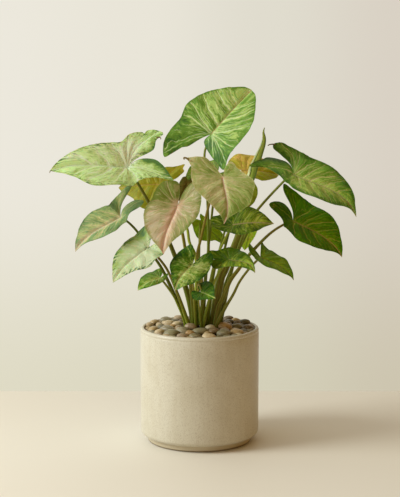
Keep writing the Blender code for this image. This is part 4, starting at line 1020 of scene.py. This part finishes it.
rolledSize = {
    "foot": (14, 3), "sides": 32, "step": 3.2,
    "radii": (5.2, 5.4, 5.6, 5.7, 5.7, 5.6, 5.4, 5.1, 4.8, 4.7, 4.6, 4.5, 4.5, 4.5, 4.7, 5.0, 5.3, 5.5, 4.9,
        3.6, 2.5, 0.3),
    "path": [(17, 2, 153), (26, 3, 203), (32, 3, 218), (44, 5, 246), (51, 7, 266), (58, 10, 299),
        (62, 12, 325), (65.5, 12, 336), (68.3, 12, 346), (72.5, 12, 356), (76.4, 11, 366), (79.6, 10, 375),
        (80.8, 10, 383), (79.8, 10, 391), (81.2, 10, 396.4)],
    "opensAt": 0.72, "overlap": 0.24, "twist": 1.0,
}
rolledLook = {
    "stem": onScreen(132, 136, 38), "side": onScreen(112, 78, 30), "pale": onScreen(178, 186, 82),
    "leaf": onScreen(200, 224, 104), "leafDark": onScreen(82, 128, 12), "leafPale": onScreen(226, 236, 176),
}


def rolledForm(share, turn):  # one edge of the rolled blade lies over the other in a slow spiral
    s = rolledSize
    rolled = ease(share, s["opensAt"] - 0.03, s["opensAt"] + 0.04)
    spiral = ((turn - 0.6 + s["twist"] * (share - 1)) % (2 * pi)) / (2 * pi)
    lap = s["overlap"] * (spiral - 0.5) * rolled
    return sheathForm(share * 0.56, turn)[0] + lap, spiral * rolled


def rolledFinish():
    look = rolledLook
    paint = Finish("rolled leaf", Specular_IOR_Level=0.2, **leafDepth)
    around = paint.attribute("around", "Vector")
    height = paint.add("ShaderNodeSeparateXYZ", {0: paint.place()}).outputs["Z"]
    spiral = paint.attribute("ridge")
    broad = paint.grain(paint.scaled(around, (0.8, 0.8, 0.08)), 1.6, 2)
    lines = paint.grain(paint.scaled(around, (7.0, 7.0, 0.15)), 1.4, 2)
    stem = paint.where(look["stem"], look["side"], broad, 0.40, 0.62, 0.7)
    stem = paint.where(stem, look["pale"], lines, 0.4, 0.7, 0.5)
    # painted light and shade: the spiral's pale band is turned to face the light and its dark band lies on
    # the far side, over the rolled blade's own tones
    leaf = paint.where(look["leaf"], look["leafDark"], spiral, 0.0, 0.3)
    leaf = paint.where(leaf, look["leafPale"], lines, 0.42, 0.66, 0.25)
    leaf = paint.where(leaf, look["leafPale"], spiral, 0.55, 0.8)
    paint.bump(lines, 0.0005, 0.6)
    colour = paint.where(stem, leaf, height, 0.300, 0.325)
    return paint.finished(colour, paint.spread(broad, 0.3, 0.7, 0.34, 0.46))


def buildRolled():
    s = rolledSize
    points = [*footPoints(*s["foot"]), *s["path"]]
    whole = lineLength(smoothLine(points, 80))
    line = smoothLine(points, round(whole / s["step"]))
    bm = newMesh(("ridge",), ("around",))
    growTube(bm, line, steppedRadius(s["radii"], whole, 0.5), s["sides"], rolledForm)
    return addPiece("blade_rolled", bm, [rolledFinish()], "leaf_green", "leaf_rolled", sharp=62)


# River pebbles: the ones that show, and others laid round them by rule

pebbleTones = {
    "tan": (172, 148, 108), "ochre": (184, 156, 106), "sand": (204, 182, 140), "amber": (190, 150, 92),
    "brown": (134, 110, 74), "rose": (168, 146, 114), "grey": (142, 132, 102), "moss": (132, 126, 92),
    "slate": (98, 92, 66), "umber": (106, 88, 56), "olive": (130, 118, 78), "cream": (196, 184, 148),
}
pebbleMarks = {
    "cloud": (100, 84, 56), "bands": (206, 190, 158), "fine": (78, 66, 46), "dust": (214, 204, 178),
}
pebbleLayout = {
    "level": 146.8, "mound": 5.0, "moundRadius": 62.0, "reach": 63.5, "clear": 26.0, "seed": 21, "more": 80,
    "lower": 95, "byWall": 36, "half": (5.6, 7.8), "rough": 0.08,
    "thick": (0.66, 7.4, 10.6),  # as a share of the length, then the least and the most
    "placed": [  # x, y, height of its top, length, tone, turn in degrees
        (-63.5, 11, 148.9, 11.5, "tan", 75), (-57.5, 24.5, 150, 12.5, "ochre", 40),
        (-58, -17, 148.9, 12.5, "ochre", 50), (-50, -32.3, 148.9, 11.5, "sand", 30),
        (-43, 41, 150.5, 15.6, "grey", 10), (-39.5, 18.6, 150.3, 13.7, "sand", 20),
        (-48.5, 0.6, 148.8, 9, "olive", 0), (-39.5, -18.4, 150.5, 17.4, "grey", -15),
        (-34.7, -42.3, 150.3, 18, "moss", 10), (-27, 52, 150.3, 12.5, "rose", 0),
        (-28, 6.3, 151.2, 13.1, "sand", 15), (-34, -4.4, 149.5, 10, "amber", 30),
        (-21, -34.7, 151.8, 16.2, "grey", -10), (-20.4, -56.5, 148.3, 13.7, "rose", 5),
        (-11, -26.5, 155, 13, "rose", 0), (0.7, -38, 151.5, 20, "moss", 0),
        (-5.6, -57.7, 148.6, 14.9, "olive", 0), (11.8, -60, 148.8, 16.2, "sand", 0),
        (13, -30, 153.9, 10.6, "cream", -10), (17.6, -38.6, 151.6, 12.5, "brown", 20),
        (31, -17, 154.3, 18.1, "amber", -10), (29.5, -46.5, 151.2, 15.6, "moss", 10),
        (45.5, -36.5, 149.8, 16.8, "ochre", -5), (46.9, -5.7, 150.4, 14.3, "olive", 10),
        (60, -10, 150.1, 14.9, "umber", 40), (57.5, 22, 151, 13.7, "slate", 15),
        (37, 41, 151.6, 12, "umber", 0), (38, 23.5, 150.4, 11, "slate", 20),
        (46.5, 36.5, 149.8, 10.5, "ochre", 0), (48.8, 20, 149.5, 10, "brown", 0),
    ],
}


def pebbleFinish():
    look = {key: onScreen(*tone) for key, tone in pebbleMarks.items()}
    paint = Finish("river pebbles", Specular_IOR_Level=0.5)
    at = paint.place()
    tone = paint.attribute("tone", "Color")
    cloud = paint.grain(at, 170, 3)
    fine = paint.grain(at, 1500, 2)
    bands = paint.grain(paint.scaled(at, (1.0, 1.0, 3.2)), 240, 2)
    colour = paint.where(tone, look["cloud"], cloud, 0.40, 0.68, 0.32)
    colour = paint.where(colour, look["bands"], bands, 0.54, 0.70, 0.28)
    colour = paint.where(colour, look["fine"], fine, 0.54, 0.72, 0.22)
    colour = paint.where(colour, look["dust"], paint.grain(at, 700, 2), 0.56, 0.7, 0.15)
    paint.bump(paint.maths("ADD", fine, cloud), 0.0004, 0.5)
    return paint.finished(colour, paint.spread(cloud, 0.3, 0.7, 0.34, 0.5))


def pebbleLevel(x, y):
    p = pebbleLayout
    return p["level"] + p["mound"] * max(0.0, 1 - (hypot(x, y) / p["moundRadius"]) ** 2)


def addPebble(bm, rng, at, size, turn, tone, detail=3):
    place = Matrix.Translation(at) @ Matrix.Rotation(turn, 4, "Z")
    for most, axis in ((0.16, "Y"), (0.14, "X")):
        place @= Matrix.Rotation(rng.uniform(-most, most), 4, axis)
    place @= Matrix.Diagonal((*size, 1.0))
    made = bmesh.ops.create_icosphere(bm, subdivisions=detail, radius=1.0)["verts"]
    egg, flat = rng.uniform(-0.16, 0.16), rng.uniform(0.0, 0.25)
    seed = rng.uniform(0, 90)
    layer = bm.verts.layers.float_color["tone"]
    shade = rng.uniform(0.86, 1.12)
    for vert in made:
        ball = vert.co.copy()
        swell = 1 + pebbleLayout["rough"] * noise.noise(ball * 1.5 + Vector((seed, 0, 0)))
        swell += flat * 0.5 * (abs(ball.x * ball.y)) + 0.03 * noise.noise(ball * 3.4 + Vector((0, seed, 0)))
        vert.co = Vector((ball.x, ball.y * (1 + egg * ball.x), ball.z * (1 - 0.5 * egg * ball.x))) * swell
        vert[layer] = tuple(c * shade for c in tone[:3]) + (1.0,)
    bmesh.ops.transform(bm, matrix=place, verts=made)


def buildPebbles():
    p = pebbleLayout
    rng = Random(p["seed"])
    bm = newMesh()
    bm.verts.layers.float_color.new("tone")
    tones = {name: onScreen(*tone) for name, tone in pebbleTones.items()}
    names = sorted(tones)
    share, least, most = p["thick"]
    taken = []
    for x, y, top, length, tone, turn in p["placed"]:
        half = length * 0.55
        thick = min(most, max(least, share * length))
        size = (half * 1.04, half * rng.uniform(0.74, 0.86), thick / 2)
        addPebble(bm, rng, (x, y, top - thick / 2), size, radians(turn), tones[tone])
        taken.append((x, y, half * 0.9))
    for _ in range(p["more"] * 60):  # more of them between these, where there is room
        if len(taken) >= len(p["placed"]) + p["more"]:
            break
        half = rng.uniform(*p["half"])
        away = rng.uniform(p["clear"] + half * 0.55, p["reach"] + 1 - half * 0.45)
        way = rng.uniform(0, 2 * pi)
        x = away * cos(way) + soilSize["openingAt"][0] * (1 - away / 70)
        y = away * sin(way) + soilSize["openingAt"][1] * (1 - away / 70)
        if hypot(x, y) + half > 69.2 or any(hypot(x - u, y - v) < (half + r) * 0.86 for u, v, r in taken):
            continue
        size = (half, half * rng.uniform(0.7, 0.9), half * rng.uniform(0.54, 0.66))
        at = (x, y, pebbleLevel(x, y) - size[2] + rng.uniform(-0.6, 1.4))
        addPebble(bm, rng, at, size, rng.uniform(0, pi), tones[rng.choice(names)])
        taken.append((x, y, half))
    for i in range(p["byWall"]):  # a ring of them along the wall
        way = 2 * pi * (i + rng.uniform(-0.2, 0.2)) / p["byWall"]
        half = rng.uniform(5.6, 6.8)
        away = soilSize["radius"] - half * 0.84
        size = (half * 0.82, half, half * 0.58)
        at = (away * cos(way), away * sin(way), p["level"] - 0.9 - size[2] + rng.uniform(-0.7, 0.5))
        addPebble(bm, rng, at, size, way, tones[rng.choice(names)])
    for _ in range(p["lower"]):  # and a lower layer that fills the gaps
        half = rng.uniform(4.6, 6.6)
        away = rng.uniform(p["clear"] ** 2, p["reach"] ** 2) ** 0.5
        way = rng.uniform(0, 2 * pi)
        at = (away * cos(way), away * sin(way), pebbleLevel(away, 0) - 8.6 + rng.uniform(-0.8, 0.8))
        size = (half, half * rng.uniform(0.7, 0.9), half * rng.uniform(0.55, 0.7))
        addPebble(bm, rng, at, size, rng.uniform(0, pi), tones[rng.choice(names)], detail=2)
    print("pebbles laid:", len(taken) + p["lower"] + p["byWall"])
    return addPiece("pebbles_loose", bm, [pebbleFinish()], "pebbles", "pebble_bed")


# Stage: a pale table, one soft window-like light from the left, and a warm dim room

stageLook = {
    "table": onScreen(230, 226, 214), "tableWorn": onScreen(226, 221, 207), "tableSize": (2.4, 1.6),
    "tableBack": 0.251, "key": (-1.47, -0.44, 1.10), "keyAim": (0.0, 0.0, 0.20), "keySize": 0.85,
    "keyPower": 25.0, "keyTint": (0.97, 1.0, 0.96),
    "wall": (  # as the camera sees it, from left to right, lighter on the left as painted light from the window
        (0.0, onScreen(236, 232, 220)), (0.35, onScreen(233, 229, 216)), (0.66, onScreen(224, 220, 206)),
        (1.0, onScreen(217, 209, 196)),
    ),
    # the low wall tone darkens the backdrop just above the table as painted shade
    "wallShadeLow": (0.876, 0.872, 0.775, 1.0), "glow": (0.74, 0.70, 0.60), "glowRight": (-0.34, -0.40, -0.40),
    "room": (  # from the far left to the far right
        (0.0, (0.98, 1.02, 1.10, 1)), (0.35, (0.54, 0.47, 0.36, 1)), (0.5, (0.42, 0.26, 0.08, 1)),
        (1.0, (0.29, 0.14, 0.01, 1)),
    ),
}
cameraPlace = {"at": (0.0005, -1.74, 0.489), "pitch": 82.026, "lens": 101.23, "sensor": 36.0}


def buildStage():
    s = stageLook
    bm = bmesh.new()
    wide, deep = s["tableSize"]
    bmesh.ops.create_grid(bm, x_segments=8, y_segments=8, size=1.0)
    middle = Matrix.Translation((0, s["tableBack"] - deep, 0))
    bmesh.ops.transform(bm, matrix=middle @ Matrix.Diagonal((wide, deep, 1, 1)), verts=bm.verts)
    mesh = bpy.data.meshes.new("table")
    bm.to_mesh(mesh)
    bm.free()
    paint = Finish("pale table", Roughness=0.6, Specular_IOR_Level=0.3)
    mottle = paint.grain(paint.place(), 3.0, 3)
    mesh.materials.append(paint.finished(paint.mix(mottle, s["table"], s["tableWorn"])))
    link("table", mesh)


def lightRoom():
    s = stageLook
    lamp = bpy.data.lights.new("key", "AREA")
    lamp.shape = "DISK"
    lamp.size = s["keySize"]
    lamp.energy = s["keyPower"]
    lamp.color = s["keyTint"]
    key = link("key", lamp)
    key.location = s["key"]
    key.rotation_euler = (Vector(s["keyAim"]) - key.location).to_track_quat("-Z", "Y").to_euler()
    room = bpy.data.worlds.new("room")
    room.use_nodes = True
    paint = NodeTree(room.node_tree)
    way = paint.add("ShaderNodeTexCoord").outputs["Generated"]
    x, y, z = paint.add("ShaderNodeSeparateXYZ", {0: way}).outputs
    # the backdrop the camera sees: painted light, lighter to the left, and painted shade low down
    wall = paint.ramp(paint.maths("MULTIPLY_ADD", x, 3.5, 0.5), s["wall"])
    wall = paint.mix(paint.spread(z, -0.08, -0.25), wall, s["wallShadeLow"], "MULTIPLY")
    glow = {0: paint.joined(x, x, x), 1: s["glowRight"], 2: s["glow"]}
    glow = paint.add("ShaderNodeVectorMath", glow, operation="MULTIPLY_ADD").outputs[0]
    around = paint.ramp(paint.spread(x, -1.0, 1.0), s["room"])
    light = paint.mix(paint.spread(y, 0.1, 0.6), around, glow)
    seen = paint.add("ShaderNodeLightPath").outputs["Is Camera Ray"]
    paint.feed(paint.nodes["Background"].inputs["Color"], paint.mix(seen, light, wall))
    bpy.context.scene.world = room


def placeCamera():
    c = cameraPlace
    lens = bpy.data.cameras.new("camera")
    lens.lens, lens.sensor_fit = c["lens"], "VERTICAL"
    lens.sensor_width = lens.sensor_height = c["sensor"]
    camera = link("camera", lens)
    camera.location = c["at"]
    camera.rotation_euler = (radians(c["pitch"]), 0, 0)
    bpy.context.scene.camera = camera
    bpy.context.scene.view_settings.view_transform = "Standard"


placeCamera()
buildStage()
lightRoom()
print("stage set")
buildPot()
buildSoil()
perlite = crumbFinish("perlite", soilLook["perlite"], soilLook["perlitePale"], 900, 0.8)
bark = crumbFinish("bark", soilLook["bark"], soilLook["barkPale"], 600, 0.85)
scatter("perlite", perlite, soilSize["perlite"], 5, (0.5, 1.3), (0.7, 1.0), 33)
scatter("bark_bits", bark, soilSize["bark"], 6, (1.0, 2.6), (0.35, 0.8), 34)
print("pot filled")
buildPebbles()
for seed, (name, leaf) in enumerate(leaves.items()):
    buildLeaf(name, leaf, seed)
buildDriedTips()
buildRolled()
print("leaves grown:", len(leaves) + 1)
